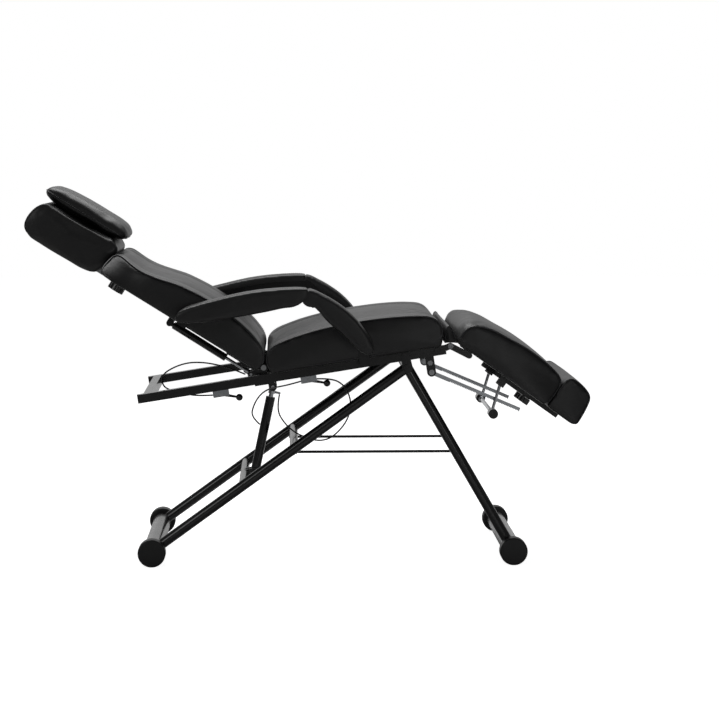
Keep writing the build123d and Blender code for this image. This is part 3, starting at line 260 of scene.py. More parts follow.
@dataclass(frozen=True)
class Plywood:
    """Plywood, stained black, so that its grain only just shows.

    Attributes:
        name: Name of the material.
        pale: Colour of its pale grain.
        dark: Colour of its dark grain.
        grain_mm: Width of its grain.
        stretch: Scale of the grain along the chair against across it.
        roughness: Its roughness.
    """

    name: str = "stained_plywood"
    pale: str = "#1d1a17"
    dark: str = "#100e0c"
    grain_mm: float = 4.0
    stretch: float = 0.08
    roughness: float = 0.62

    def build(self) -> bpy.types.Material:
        """Make the wood, with its grain along the chair.

        Returns:
            The finished material.
        """
        material, tree = new_material(self.name)
        place = add_node(tree, "ShaderNodeTexCoord").outputs["Object"]
        along = add_node(
            tree, "ShaderNodeMapping", {"Scale": (self.stretch, 1.0, 1.0)}, {"Vector": place})
        grain = add_node(
            tree, "ShaderNodeTexNoise",
            {"Scale": 1 / (self.grain_mm * MM), "Detail": 4.0, "Distortion": 0.6},
            {"Vector": along.outputs[0]})
        tone = add_node(
            tree, "ShaderNodeMix",
            {"data_type": "RGBA", "A": linear(self.pale), "B": linear(self.dark)},
            {"Factor": grain.outputs["Fac"]})
        surface = add_node(
            tree, "ShaderNodeBump", {"Strength": 0.3, "Distance": 0.1 * MM},
            {"Height": grain.outputs["Fac"]})
        shader = add_node(
            tree, "ShaderNodeBsdfPrincipled", {"Roughness": self.roughness},
            {"Base Color": tone.outputs["Result"], "Normal": surface.outputs[0]})
        add_node(tree, "ShaderNodeOutputMaterial", links={"Surface": shader.outputs[0]})
        return material


class Finish(Enum):
    """The finishes of the chair."""

    LEATHER = VinylLeather()
    # The same leather pulled round a cord is stretched smoother, so an edge catches more light; its colour is
    # also painted paler than the cover's, a painted highlight along the edges
    PIPING = VinylLeather(
        name="piping_leather", colour="#19191b", worn="#242427", roughness=0.3, grain_mm=1.0)
    # Cured powder leaves a faint orange peel that ripples the highlights along a tube
    POWDER = Coating(
        "gloss_powder_coat", "#0b0b0c", "#101011", 0.24, coat=0.4, speck_mm=3.5, bump_mm=0.04)
    # Polished before it is plated, it mirrors with hardly a ripple
    CHROME = Coating(
        "bright_chrome_plate", "#d4d6d8", "#c6c8cb", 0.1, metallic=1.0, speck_mm=9.0, bump_mm=0.01)
    # Barrel plating leaves a satin grey that spreads its highlights
    ZINC = Coating(
        "zinc_plated_steel", "#b9bcbf", "#9fa2a6", 0.3, metallic=1.0, speck_mm=1.5, bump_mm=0.03)
    # A spark-eroded mould leaves the caps and plugs matt
    MOULDED = Coating(
        "moulded_polypropylene", "#101011", "#161617", 0.42, speck_mm=0.8, bump_mm=0.05)
    # Pressed in a polished mould, it shows small sharp highlights
    GLOSSY = Coating(
        "polished_bakelite", "#0d0d0e", "#121213", 0.18, coat=0.3, speck_mm=6.0, bump_mm=0.02)
    # Extruded plastic has a soft sheen along the cable
    SHEATH = Coating("pvc_cable_sheath", "#0e0e0f", "#141415", 0.38, speck_mm=1.2, bump_mm=0.04)
    # Twisted filaments scatter the light, so stitches look a little paler than the cover
    THREAD = Coating("polyester_thread", "#1d1d1f", "#262628", 0.6, speck_mm=0.5, bump_mm=0.1)
    BOARD = Plywood()


class Workshop:
    """Keeps one material of each finish."""

    def __init__(self) -> None:
        """Start with no material made."""
        self.made: dict[Finish, bpy.types.Material] = {}

    def get(self, finish: Finish) -> bpy.types.Material:
        """Return the material of a finish, made once."""
        if finish not in self.made:
            self.made[finish] = finish.value.build()
        return self.made[finish]

    def dress(self, obj: bpy.types.Object, finish: Finish) -> None:
        """Give an object one finish all over."""
        obj.data.materials.clear()
        obj.data.materials.append(self.get(finish))


SHOP = Workshop()


@dataclass(frozen=True)
class SideFrame:
    """Upright plane along the chair, with its origin at a pivot.

    Attributes:
        x: Pivot's X in millimetres.
        z: Pivot's height in millimetres.
        slope: Angle of the plane's own long axis above the floor, in degrees.
        forward: 1 where that axis runs to the foot end, -1 to the head end.
    """

    x: float
    z: float
    slope: float
    forward: int = 1

    def matrix(self) -> Matrix:
        """Work out how this plane lies on the chair.

        Returns:
            The matrix from the plane's own axes to the chair's.
        """
        turn = radians(self.slope)
        along = Vector((self.forward * cos(turn), 0, sin(turn)))
        up = Vector((-self.forward * sin(turn), 0, cos(turn)))
        columns = Matrix((along, Vector((0, 1, 0)), up)).transposed().to_4x4()
        columns.translation = Vector((self.x, 0, self.z)) * MM
        return columns


SEAT = SideFrame(214.5, 570.0, 9.0)
BACK = SideFrame(-198.5, 568.98, 32.0, -1)
LEG = SideFrame(337.47, 633.01, -35.5)
CHAIR = SideFrame(0.0, 0.0, 0.0)


def add_object(name: str, mesh: bpy.types.ID) -> bpy.types.Object:
    """Link a new object at the origin.

    Args:
        name: Name of the object.
        mesh: Mesh or curve that it shows.

    Returns:
        The object.
    """
    obj = bpy.data.objects.new(name, mesh)
    bpy.context.scene.collection.objects.link(obj)
    return obj


def evaluated(obj: bpy.types.Object) -> bpy.types.Mesh:
    """Return a new mesh of an object as its modifiers leave it."""
    graph = bpy.context.evaluated_depsgraph_get()
    return bpy.data.meshes.new_from_object(obj.evaluated_get(graph), depsgraph=graph)


def discard(obj: bpy.types.Object) -> None:
    """Remove an object that only helped to make another."""
    bpy.data.objects.remove(obj, do_unlink=True)


def smooth_loop(
    points: tuple[tuple[float, float], ...],
    corners: tuple[int, ...],
    steps: int = 6,
) -> list[Vector]:
    """Draw a closed outline through points, smooth except at its corners.

    Args:
        points: Places along and up, in millimetres.
        corners: Which of the points are corners.
        steps: Pieces between two points.

    Returns:
        The outline's places in metres, in order.
    """
    curve = bpy.data.curves.new("outline", "CURVE")
    curve.dimensions = "3D"
    curve.resolution_u = steps
    spline = curve.splines.new("BEZIER")
    spline.bezier_points.add(len(points) - 1)
    spline.use_cyclic_u = True
    for index, (along, up) in enumerate(points):
        knot = spline.bezier_points[index]
        knot.co = (along * MM, 0, up * MM)
        kind = "VECTOR" if index in corners else "AUTO"
        knot.handle_left_type = kind
        knot.handle_right_type = kind
    obj = add_object("outline", curve)
    bpy.context.view_layer.update()
    mesh = evaluated(obj)
    loop = [vertex.co.copy() for vertex in mesh.vertices]
    discard(obj)
    if (loop[0] - loop[-1]).length < SAME_PLACE:
        loop.pop()
    return loop


def tube_mesh(
    name: str,
    points: list[Vector],
    radius: float,
    cyclic: bool = True,
) -> bpy.types.Mesh:
    """Draw a round tube along points.

    Args:
        name: Name of the curve that it is drawn with.
        points: Places that it runs through.
        radius: Its radius in metres.
        cyclic: Whether its end joins its start.

    Returns:
        The tube's mesh.
    """
    curve = bpy.data.curves.new(name, "CURVE")
    curve.dimensions = "3D"
    curve.bevel_depth = radius
    curve.bevel_resolution = 2
    spline = curve.splines.new("POLY")
    spline.points.add(len(points) - 1)
    for knot, place in zip(spline.points, points):
        knot.co = (*place, 1.0)
    spline.use_cyclic_u = cyclic
    obj = add_object(name, curve)
    bpy.context.view_layer.update()
    mesh = evaluated(obj)
    discard(obj)
    mesh.shade_smooth()
    return mesh


def spaced(points: list[Vector], gap: float, cyclic: bool = False) -> list[tuple[Vector, Vector]]:
    """Walk along a path at an even gap.

    Args:
        points: Places of the path.
        gap: Distance between two stops, in metres.
        cyclic: Whether the path's end joins its start.

    Returns:
        The place of each stop and the path's direction there.
    """
    path = points + points[:1] if cyclic else points
    found = []
    left = gap / 2
    for start, end in zip(path, path[1:]):
        run = end - start
        length = run.length
        while left < length:
            found.append((start + run * (left / length), run.normalized()))
            left += gap
        left -= length
    return found


@dataclass(frozen=True)
class Sewing:
    """Sizes that all seams, piping and stitches share, in millimetres.

    Attributes:
        groove_half: Half the width of the groove that a seam pulls in.
        pucker_reach: How far from a seam the cover puckers.
        row_shift: How far a row of stitches lies from its seam.
        stitch_gap: Distance from one stitch to the next.
        stitch: Half length, half width and half height of a stitch.
        stitch_lift: How far a stitch stands up from the cover.
        stitch_low: Height above the board below which no stitch shows.
        stitch_reach: Furthest that a stitch is moved to find the cover.
        piping_share: Share of its radius that piping stands off the cover.
        piping_easing: Times that the piping's path is smoothed.
        welt_radius: Radius of a pillow's welt.
        welt_lift: How far the welt's middle stands off the cover.
        welt_steps: Places round a welt.
    """

    groove_half: float = 13.0
    pucker_reach: float = 24.0
    row_shift: float = 5.0
    stitch_gap: float = 6.5
    stitch: tuple[float, float, float] = (2.1, 0.55, 0.45)
    stitch_lift: float = 0.15
    stitch_low: float = 12.0
    stitch_reach: float = 15.0
    piping_share: float = 0.75
    piping_easing: int = 8
    welt_radius: float = 1.7
    welt_lift: float = 0.4
    welt_steps: int = 120


@dataclass(frozen=True)
class Filling:
    """How the covers are filled: cloth under pressure, for a few frames.

    Attributes:
        frames: Frames that it runs for.
        quality: Steps in each frame.
        mass: Mass of a place of the cover.
        stretch: Stiffness against being pulled or pressed together.
        bend: Stiffness against being bent.
        pressure: Pressure inside.
        held_share: Share of the mesh's size within which a seam holds the cover.
        held_low: Height above the board, in millimetres, that the board holds.
        easing: Times that the filled cover is smoothed.
    """

    frames: int = 20
    quality: int = 4
    mass: float = 0.3
    stretch: float = 18.0
    bend: float = 0.6
    pressure: float = 4.0
    held_share: float = 0.8
    held_low: float = 2.0
    easing: int = 3


SEWING = Sewing()
FILLING = Filling()


@dataclass
class Cushion:
    """An upholstered piece: crowned, seamed, piped and filled.

    Attributes:
        name: Name of the piece.
        nodes: Solids that it stands for.
        body: Body that it rides on.
        plane: Side plane that its outline is drawn on.
        outline: Places along and up, in millimetres.
        corners: Sharp places of the outline.
        half: Half its width.
        middle: Y of its middle.
        crown: Rise of its middle over its sides.
        draw: How far its sides pull in between its corners.
        bow: How far its near end bulges along, in its middle.
        bow_run: Length over which the bulge fades.
        bow_power: How evenly the bulge runs across before it ends at the sides.
        taper: How far its sides come in at its far end.
        taper_run: Length over which they come in.
        taper_rise: How soon up its height they come in fully.
        groove: How deep the seams over its top sink in.
        rim: Radius round its side edges, or 0 where piping sits on them.
        cap: Furthest that filling moves its cover.
        voxel: Size of its cover's mesh.
        seam_ys: Places across of the seams over its top.
        seam_from: Lowest place up that such a seam reaches.
        stations: Place across, then growth along and up, where it isn't even across.
        pivot: Place that such growth is measured from.
        piping: Radius of the piping on its side edges, or 0.
        inset: How far from its side edges a row of stitches runs.
        fill: How tight it is, from 0 to 1; not used.
        loop: Its outline, smoothed.
        extent: Least and greatest place along and up of the outline.
        still: Where the cover's places are before it is filled.
        filled: The cover's object.
    """

    name: str
    nodes: tuple[str, ...]
    body: str
    plane: SideFrame
    outline: tuple[tuple[float, float], ...]
    corners: tuple[int, ...]
    half: float
    middle: float = 0.0
    crown: float = 4.0
    draw: float = 3.0
    bow: float = 0.0
    bow_run: float = 110.0
    bow_power: int = 12
    taper: float = 0.0
    taper_run: float = 90.0
    taper_rise: float = 1.4
    groove: float = 0.0
    rim: float = 0.0
    cap: float = 6.0
    voxel: float = 7.0
    seam_ys: tuple[float, ...] = ()
    seam_from: float = 60.0
    stations: tuple[tuple[float, float, float], ...] = ()
    pivot: tuple[float, float] = (0.0, 0.0)
    piping: float = 2.4
    inset: float = 9.0
    fill: float = 0.8
    loop: list[Vector] = field(default_factory=list)
    extent: tuple[float, float, float, float] = (0.0, 0.0, 0.0, 0.0)
    still: list[Vector] = field(default_factory=list)
    filled: bpy.types.Object | None = None

    def shaped(self, place: Vector, share: float) -> Vector:
        """Find where an outline place lies away from the middle.

        Args:
            place: Place of the outline.
            share: Share of the half width, from -1 to 1.

        Returns:
            The place with crown, drawn-in side and seam grooves.
        """
        left, right, low, high = self.extent
        lift = 1 + self.crown * MM * (1 - share * share) / (high - low)
        along = 2 * (place.x - left) / (right - left) - 1
        pull = self.draw * MM * (1 - along * along)
        y = share * (self.half * MM - pull)
        z = low + (place.z - low) * lift
        if place.z > self.seam_from * MM:
            for seam in self.seam_ys:
                z -= self.groove * MM * exp(-((y / MM - seam) / SEWING.groove_half) ** 2)
        return Vector((place.x, y + self.middle * MM, z))

    def warped(self, place: Vector) -> Vector:
        """Bend a place by the cover's taper and bow.

        Args:
            place: Place on the cover or on one of its paths.

        Returns:
            The bent place.
        """
        if not (self.taper or self.bow):
            return place.copy()
        left, right, low, high = self.extent
        height = min(1.0, max(0.0, (place.z - low) / (high - low)))
        late = min(1.0, max(0.0, 1 - (right - place.x) / (self.taper_run * MM)))
        early = min(1.0, max(0.0, 1 - (place.x - left) / (self.bow_run * MM)))
        narrow = 1 - self.taper / self.half * late * late * min(1.0, self.taper_rise * height)
        share = place.y / (self.half * MM)
        x = place.x - self.bow * MM * early * height * max(0.0, 1 - share ** self.bow_power)
        return Vector((x, place.y * narrow, place.z))

    def grown(self, place: Vector, growth: tuple[float, float, float]) -> Vector:
        """Find where an outline place lies at a station with its own growth.

        Args:
            place: Place of the outline.
            growth: The station's place across, then its growth along and up.

        Returns:
            The grown place.
        """
        share, along, up = growth
        pivot = Vector((self.pivot[0] * MM, 0, self.pivot[1] * MM))
        x = pivot.x + (place.x - pivot.x) * along
        z = pivot.z + (place.z - pivot.z) * up
        return Vector((x, share * self.half * MM + self.middle * MM, z))

    def section(self, share: float) -> list[Vector]:
        """Return the outline at a share of the half width, tapered and bowed."""
        return [self.warped(self.shaped(place, share)) for place in self.loop]

    def shell(self) -> bmesh.types.BMesh:
        """Skin the closed cover before it is filled.

        Returns:
            The cover, with its side edges rounded where it has a rim.
        """
        shape = bmesh.new()
        loops = [[shape.verts.new(place) for place in row] for row in self.rows()]
        for low, high in zip(loops, loops[1:]):
            for index in range(len(low)):
                after = (index + 1) % len(low)
                shape.faces.new((low[index], low[after], high[after], high[index]))
        shape.faces.new(loops[0])
        shape.faces.new(reversed(loops[-1]))
        if self.rim:
            # Only the two caps have more than four corners, so a side edge has a cap on one side
            sides = [edge for edge in shape.edges
                     if len({len(face.verts) > 4 for face in edge.link_faces}) > 1]
            bmesh.ops.bevel(
                shape, geom=sides, offset=self.rim * MM, offset_type="OFFSET", segments=4,
                profile=0.5, affect="EDGES", material=-1)
        bmesh.ops.recalc_face_normals(shape, faces=shape.faces)
        return shape

    def rows(self) -> list[list[Vector]]:
        """Lay out the loops that the cover is skinned over.

        Returns:
            Each loop's places, from the sitter's right to the left.
        """
        if self.stations:
            return [[self.grown(place, station) for place in self.loop] for station in self.stations]
        half_count = 20
        shares = [step / half_count - 1 for step in range(2 * half_count + 1)]
        return [[self.shaped(place, share) for place in self.loop] for share in shares]

    def seam_paths(self) -> list[list[Vector]]:
        """Find the seams over the top.

        Returns:
            Each seam's places, front to back.
        """
        paths = []
        for y in self.seam_ys:
            section = self.section(y / self.half)
            paths.append([place for place in section if place.z > self.seam_from * MM])
        return paths

    def prepare(self) -> None:
        """Make the cover's mesh and set it up to be filled."""
        self.loop = smooth_loop(self.outline, self.corners)
        along = [place.x for place in self.loop]
        up = [place.z for place in self.loop]
        self.extent = (min(along), max(along), min(up), max(up))
        shape = self.shell()
        mesh = bpy.data.meshes.new(self.name)
        shape.to_mesh(mesh)
        shape.free()
        rough = add_object(self.name + "_rough", mesh)
        remesh = rough.modifiers.new("remesh", "REMESH")
        remesh.mode = "VOXEL"
        remesh.voxel_size = self.voxel * MM
        cover = evaluated(rough)
        discard(rough)
        for vertex in cover.vertices:
            vertex.co = self.warped(vertex.co)
        self.filled = add_object(self.name, cover)
        self.still = [vertex.co.copy() for vertex in cover.vertices]
        self.pin(self.filled)
        self.pump(self.filled)

    def pin(self, obj: bpy.types.Object) -> None:
        """Hold the cover at its seams and on its board, and mark how near each place is.

        Args:
            obj: The cover that is about to be filled.
        """
        held = []
        if not self.stations and not self.rim:
            held += self.section(1.0) + self.section(-1.0)
        for path in self.seam_paths():
            held += path
        tree = kdtree.KDTree(max(1, len(held)))
        for index, place in enumerate(held):
            tree.insert(place, index)
        tree.balance()
        low = self.extent[2]
        nearness = []
        fixed = []
        for vertex in obj.data.vertices:
            away = tree.find(vertex.co)[2] if held else 1.0
            nearness.append(max(0.0, 1 - away / (SEWING.pucker_reach * MM)))
            if away < self.voxel * FILLING.held_share * MM or vertex.co.z < low + FILLING.held_low * MM:
                fixed.append(vertex.index)
        obj.vertex_groups.new(name="held").add(fixed, 1.0, "REPLACE")
        obj.data.attributes.new("seam", "FLOAT", "POINT").data.foreach_set("value", nearness)

    def pump(self, obj: bpy.types.Object) -> None:
        """Let cloth under pressure fill the cover between its seams.

        Args:
            obj: The cover, with the places that hold it marked.
        """
        cloth = obj.modifiers.new("filling", "CLOTH")
        cloth.settings.quality = FILLING.quality
        cloth.settings.mass = FILLING.mass
        cloth.settings.tension_stiffness = FILLING.stretch
        cloth.settings.compression_stiffness = FILLING.stretch
        cloth.settings.bending_stiffness = FILLING.bend
        cloth.settings.use_pressure = True
        cloth.settings.uniform_pressure_force = FILLING.pressure
        cloth.settings.vertex_group_mass = "held"
        cloth.settings.effector_weights.gravity = 0.0
        cloth.collision_settings.use_collision = False
        cloth.point_cache.frame_start = 1
        cloth.point_cache.frame_end = FILLING.frames

    def finish(self) -> bpy.types.Object:
        """Cap the filling, put the cushion in its place and dress it.

        Returns:
            The finished cushion.
        """
        obj = self.filled
        mesh = evaluated(obj) if obj.modifiers else obj.data
        limit = self.cap * MM
        for vertex, still in zip(mesh.vertices, self.still):
            move = vertex.co - still
            if move.length > limit:
                vertex.co = still + move * (limit / move.length)
        obj.modifiers.clear()
        obj.data = mesh
        obj.vertex_groups.clear()
        self.settle(mesh)
        self.place(mesh)
        mesh.shade_smooth()
        rounder = obj.modifiers.new("smooth", "SUBSURF")
        rounder.levels = 1
        rounder.render_levels = 1
        SHOP.dress(obj, Finish.LEATHER)
        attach(obj, self.body)
        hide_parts(*self.nodes)
        LOG.info("%s: %d faces", obj.name, len(mesh.polygons))
        surface = BVHTree.FromObject(obj, bpy.context.evaluated_depsgraph_get())
        if self.piping:
            self.add_piping(surface)
        if self.stations:
            self.add_welt(surface)
        self.add_stitches(surface)
        return obj

    def settle(self, mesh: bpy.types.Mesh) -> None:
        """Ease the steps that the cover's mesh leaves beside its seams.

        Args:
            mesh: The filled cover's mesh.
        """
        shape = bmesh.new()
        shape.from_mesh(mesh)
        for _ in range(FILLING.easing):
            bmesh.ops.smooth_vert(
                shape, verts=shape.verts, factor=0.5, use_axis_x=True, use_axis_y=True, use_axis_z=True)
        shape.to_mesh(mesh)
        shape.free()

    def place(self, mesh: bpy.types.Mesh) -> None:
        """Move a mesh from the side plane's axes to the chair's.

        Args:
            mesh: The cover's mesh.
        """
        shape = bmesh.new()
        shape.from_mesh(mesh)
        bmesh.ops.transform(shape, matrix=self.plane.matrix(), verts=shape.verts)
        bmesh.ops.recalc_face_normals(shape, faces=shape.faces)
        shape.to_mesh(mesh)
        shape.free()

    def sew_tube(self, name: str, path: list[Vector], radius: float) -> None:
        """Sew a closed tube of leather along a path on the cover.

        Args:
            name: Name of the tube.
            path: Places that it runs through.
            radius: Its radius in metres.
        """
        obj = add_object(name, tube_mesh(name, path, radius))
        SHOP.dress(obj, Finish.PIPING)
        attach(obj, self.body)
        LOG.info("%s sewn", name)

    def add_piping(self, surface: BVHTree) -> None:
        """Sew a piping tube on each side edge of the finished cover.

        Args:
            surface: The finished cover that the piping lies on.
        """
        matrix = self.plane.matrix()
        for side, hand in ((-1, "right"), (1, "left")):
            path = []
            for place in self.section(side * 1.0):
                spot, normal, _, _ = surface.find_nearest(matrix @ place)
                path.append(spot + normal * (self.piping * SEWING.piping_share * MM))
            for _ in range(SEWING.piping_easing):
                path = [(path[at - 1] + spot * 2 + path[(at + 1) % len(path)]) / 4
                        for at, spot in enumerate(path)]
            self.sew_tube(f"{self.name}_piping_{hand}", path, self.piping * MM)

    def add_welt(self, surface: BVHTree) -> None:
        """Sew a welt round the rim of a pillow, half way up it.

        Args:
            surface: The finished cover that the welt lies on.
        """
        matrix = self.plane.matrix()
        centre = matrix @ Vector((self.pivot[0] * MM, self.middle * MM, self.pivot[1] * MM))
        path = []
        for step in range(SEWING.welt_steps):
            angle = 2 * pi * step / SEWING.welt_steps
            aim = matrix.to_3x3() @ Vector((cos(angle), sin(angle), 0))
            spot, normal, _, _ = surface.ray_cast(centre, aim)
            path.append(spot + normal * (SEWING.welt_lift * MM))
        self.sew_tube(f"{self.name}_welt", path, SEWING.welt_radius * MM)

    def add_stitches(self, surface: BVHTree) -> None:
        """Sew a row of stitches inside each side edge and on both sides of each seam.

        Args:
            surface: The finished cover that the stitches lie on.
        """
        rows: list[tuple[list[Vector], bool]] = []
        if not self.stations:
            for side in (-1, 1):
                share = side * (1 - self.inset / self.half)
                rows.append((self.section(share), True))
        for y in self.seam_ys:
            for shift in (-SEWING.row_shift, SEWING.row_shift):
                section = self.section((y + shift) / self.half)
                rows.append(([place for place in section if place.z > self.seam_from * MM], False))
        if not rows:
            return
        matrix = self.plane.matrix()
        low = self.extent[2] + SEWING.stitch_low * MM
        shape = bmesh.new()
        for path, cyclic in rows:
            for place, heading in spaced(path, SEWING.stitch_gap * MM, cyclic):
                if place.z < low:
                    continue
                spot, normal, _, away = surface.find_nearest(matrix @ place)
                if spot is None or away > SEWING.stitch_reach * MM:
                    continue
                forward = (matrix.to_3x3() @ heading).normalized()
                across = normal.cross(forward).normalized()
                turn = Matrix((forward, across, normal)).transposed().to_4x4()
                turn.translation = spot + normal * (SEWING.stitch_lift * MM)
                size = Matrix.Diagonal((*(part * MM for part in SEWING.stitch), 1.0))
                bmesh.ops.create_icosphere(shape, subdivisions=1, radius=1.0, matrix=turn @ size)
        bmesh.ops.recalc_face_normals(shape, faces=shape.faces)
        mesh = bpy.data.meshes.new(self.name + "_stitches")
        shape.to_mesh(mesh)
        shape.free()
        mesh.shade_smooth()
        obj = add_object(self.name + "_stitches", mesh)
        SHOP.dress(obj, Finish.THREAD)
        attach(obj, self.body)
        LOG.info("%s: %d rows", obj.name, len(rows))


@dataclass
class Upholstery:
    """All the cushions of the chair, filled together."""

    seat: Cushion = field(default_factory=lambda: Cushion(
        "seat_upholstery", ("seat_cushion", "seat_cushion_rear"), "seat", SEAT,
        ((-386, 46), (-397, 74), (-393, 104), (-372, 124), (-330, 138), (-215, 154.5), (-95, 157),
         (-5, 153), (66, 143), (96, 132), (112, 113), (116, 88), (105, 46)),
        (0, 12), 295, crown=4, seam_ys=(-188, 188), seam_from=118, cap=6, groove=7))
    back: Cushion = field(default_factory=lambda: Cushion(
        "backrest_upholstery", ("back_cushion",), "back", BACK,
        ((10, -14), (9, 20), (27, 45), (61, 64), (103, 76), (146, 83), (237, 87), (299, 83), (338, 78),
         (391, 64), (437, 55), (494, 57), (518, 58), (532, 48), (538, 24), (539, -8), (510, -14)),
        (0, 16), 295, crown=3, taper=92, taper_run=150, seam_ys=(-172, 172), seam_from=50, cap=5,
        groove=6))
    head: Cushion = field(default_factory=lambda: Cushion(
        "headrest_upholstery", ("headrest_cushion",), "headrest", BACK,
        ((552, -24), (566, -34), (592, -39.5), (640, -42), (740, -43), (778, -40), (801, -26), (808, -4),
         (807, 22), (799, 50), (787, 64), (763, 67), (700, 68), (579, 73), (560, 75), (541, 68), (530, 59)),
        (0,), 150, crown=2, draw=4, rim=13, cap=4, voxel=5, piping=0, inset=17))
    pillow: Cushion = field(default_factory=lambda: Cushion(
        "face_pillow_upholstery", ("face_pillow",), "pillow", BACK,
        ((552, 84), (640, 78), (774, 73), (799, 78), (807, 92), (797, 110), (774, 119), (721, 127),
         (620, 130), (570, 129), (546, 124), (531, 115), (528, 104), (535, 92)),
        (), 121, cap=4, voxel=5, piping=0, pivot=(667, 97),
        stations=((-1, 0.84, 0.34), (-0.95, 0.94, 0.62), (-0.78, 0.99, 0.84), (-0.45, 1, 0.95), (0, 1, 1),
                  (0.45, 1, 0.95), (0.78, 0.99, 0.84), (0.95, 0.94, 0.62), (1, 0.84, 0.34))))
    leg: Cushion = field(default_factory=lambda: Cushion(
        "leg_rest_upholstery", ("leg_cushion",), "leg", LEG,
        ((4, 18), (5, 50), (7, 66), (17, 83), (37, 97), (72, 110), (118, 116), (181, 123.5), (239, 123),
         (282, 119), (309, 111), (321, 100), (326, 80), (322, 28), (320, 18)),
        (0, 14), 295, crown=0, cap=5, bow=38, taper=22, taper_run=300))
    foot: Cushion = field(default_factory=lambda: Cushion(
        "foot_upholstery", ("foot_cushion",), "foot", LEG,
        ((328, 18), (330, 112), (337, 124), (354, 129), (380, 129), (404, 122), (418, 114), (425, 98),
         (428, 74), (432, 44), (432, 28), (424, 18)),
        (0, 11), 268, crown=0, cap=4, taper=12, taper_run=100))

    def pieces(self) -> list[Cushion]:
        """List every cushion.

        Returns:
            The six cushions and the four arm pads.
        """
        pieces = [self.seat, self.back, self.head, self.pillow, self.leg, self.foot]
        upper = ((-444.5, 717), (-441, 733), (-423, 747), (-383, 761), (-333, 774), (-279, 787), (-226, 797),
                 (-172, 803), (-118, 806), (-93, 806.5), (-72, 805), (-70, 788), (-84, 770), (-99, 759),
                 (-147, 750), (-173, 744), (-226, 734), (-279, 725), (-334, 716), (-387, 711), (-428, 711))
        front = ((-70, 805), (-62, 802.5), (-42, 793), (2, 769), (48, 734), (83, 694), (105, 657), (113, 633),
                 (107, 620), (95, 619), (60, 642), (26, 676), (-17, 714), (-43, 744), (-56, 754), (-74, 756),
                 (-88, 768), (-90, 784))
        for side, hand in ((-1, "right"), (1, "left")):
            pieces.append(Cushion(
                f"arm_upper_upholstery_{hand}", (f"arm_upper_pad_{hand}",), f"arm_upper_{hand}", CHAIR,
                upper, (10,), 40.5, middle=side * 349, crown=0, draw=0, rim=13, cap=1.5, voxel=4, piping=0,
                inset=11))
            pieces.append(Cushion(
                f"arm_front_upholstery_{hand}", (f"arm_front_pad_{hand}",), f"arm_front_{hand}", CHAIR,
                front, (0,), 40, middle=side * 349, crown=0, draw=0, rim=12, cap=1.5, voxel=4, piping=0,
                inset=11))
        return pieces

    def build(self) -> None:
        """Prepare every cushion, fill them together and finish them."""
        pieces = self.pieces()
        for piece in pieces:
            piece.prepare()
        scene = bpy.context.scene
        for step in range(1, FILLING.frames + 1):
            scene.frame_set(step)
        for piece in pieces:
            piece.finish()
        scene.frame_set(1)


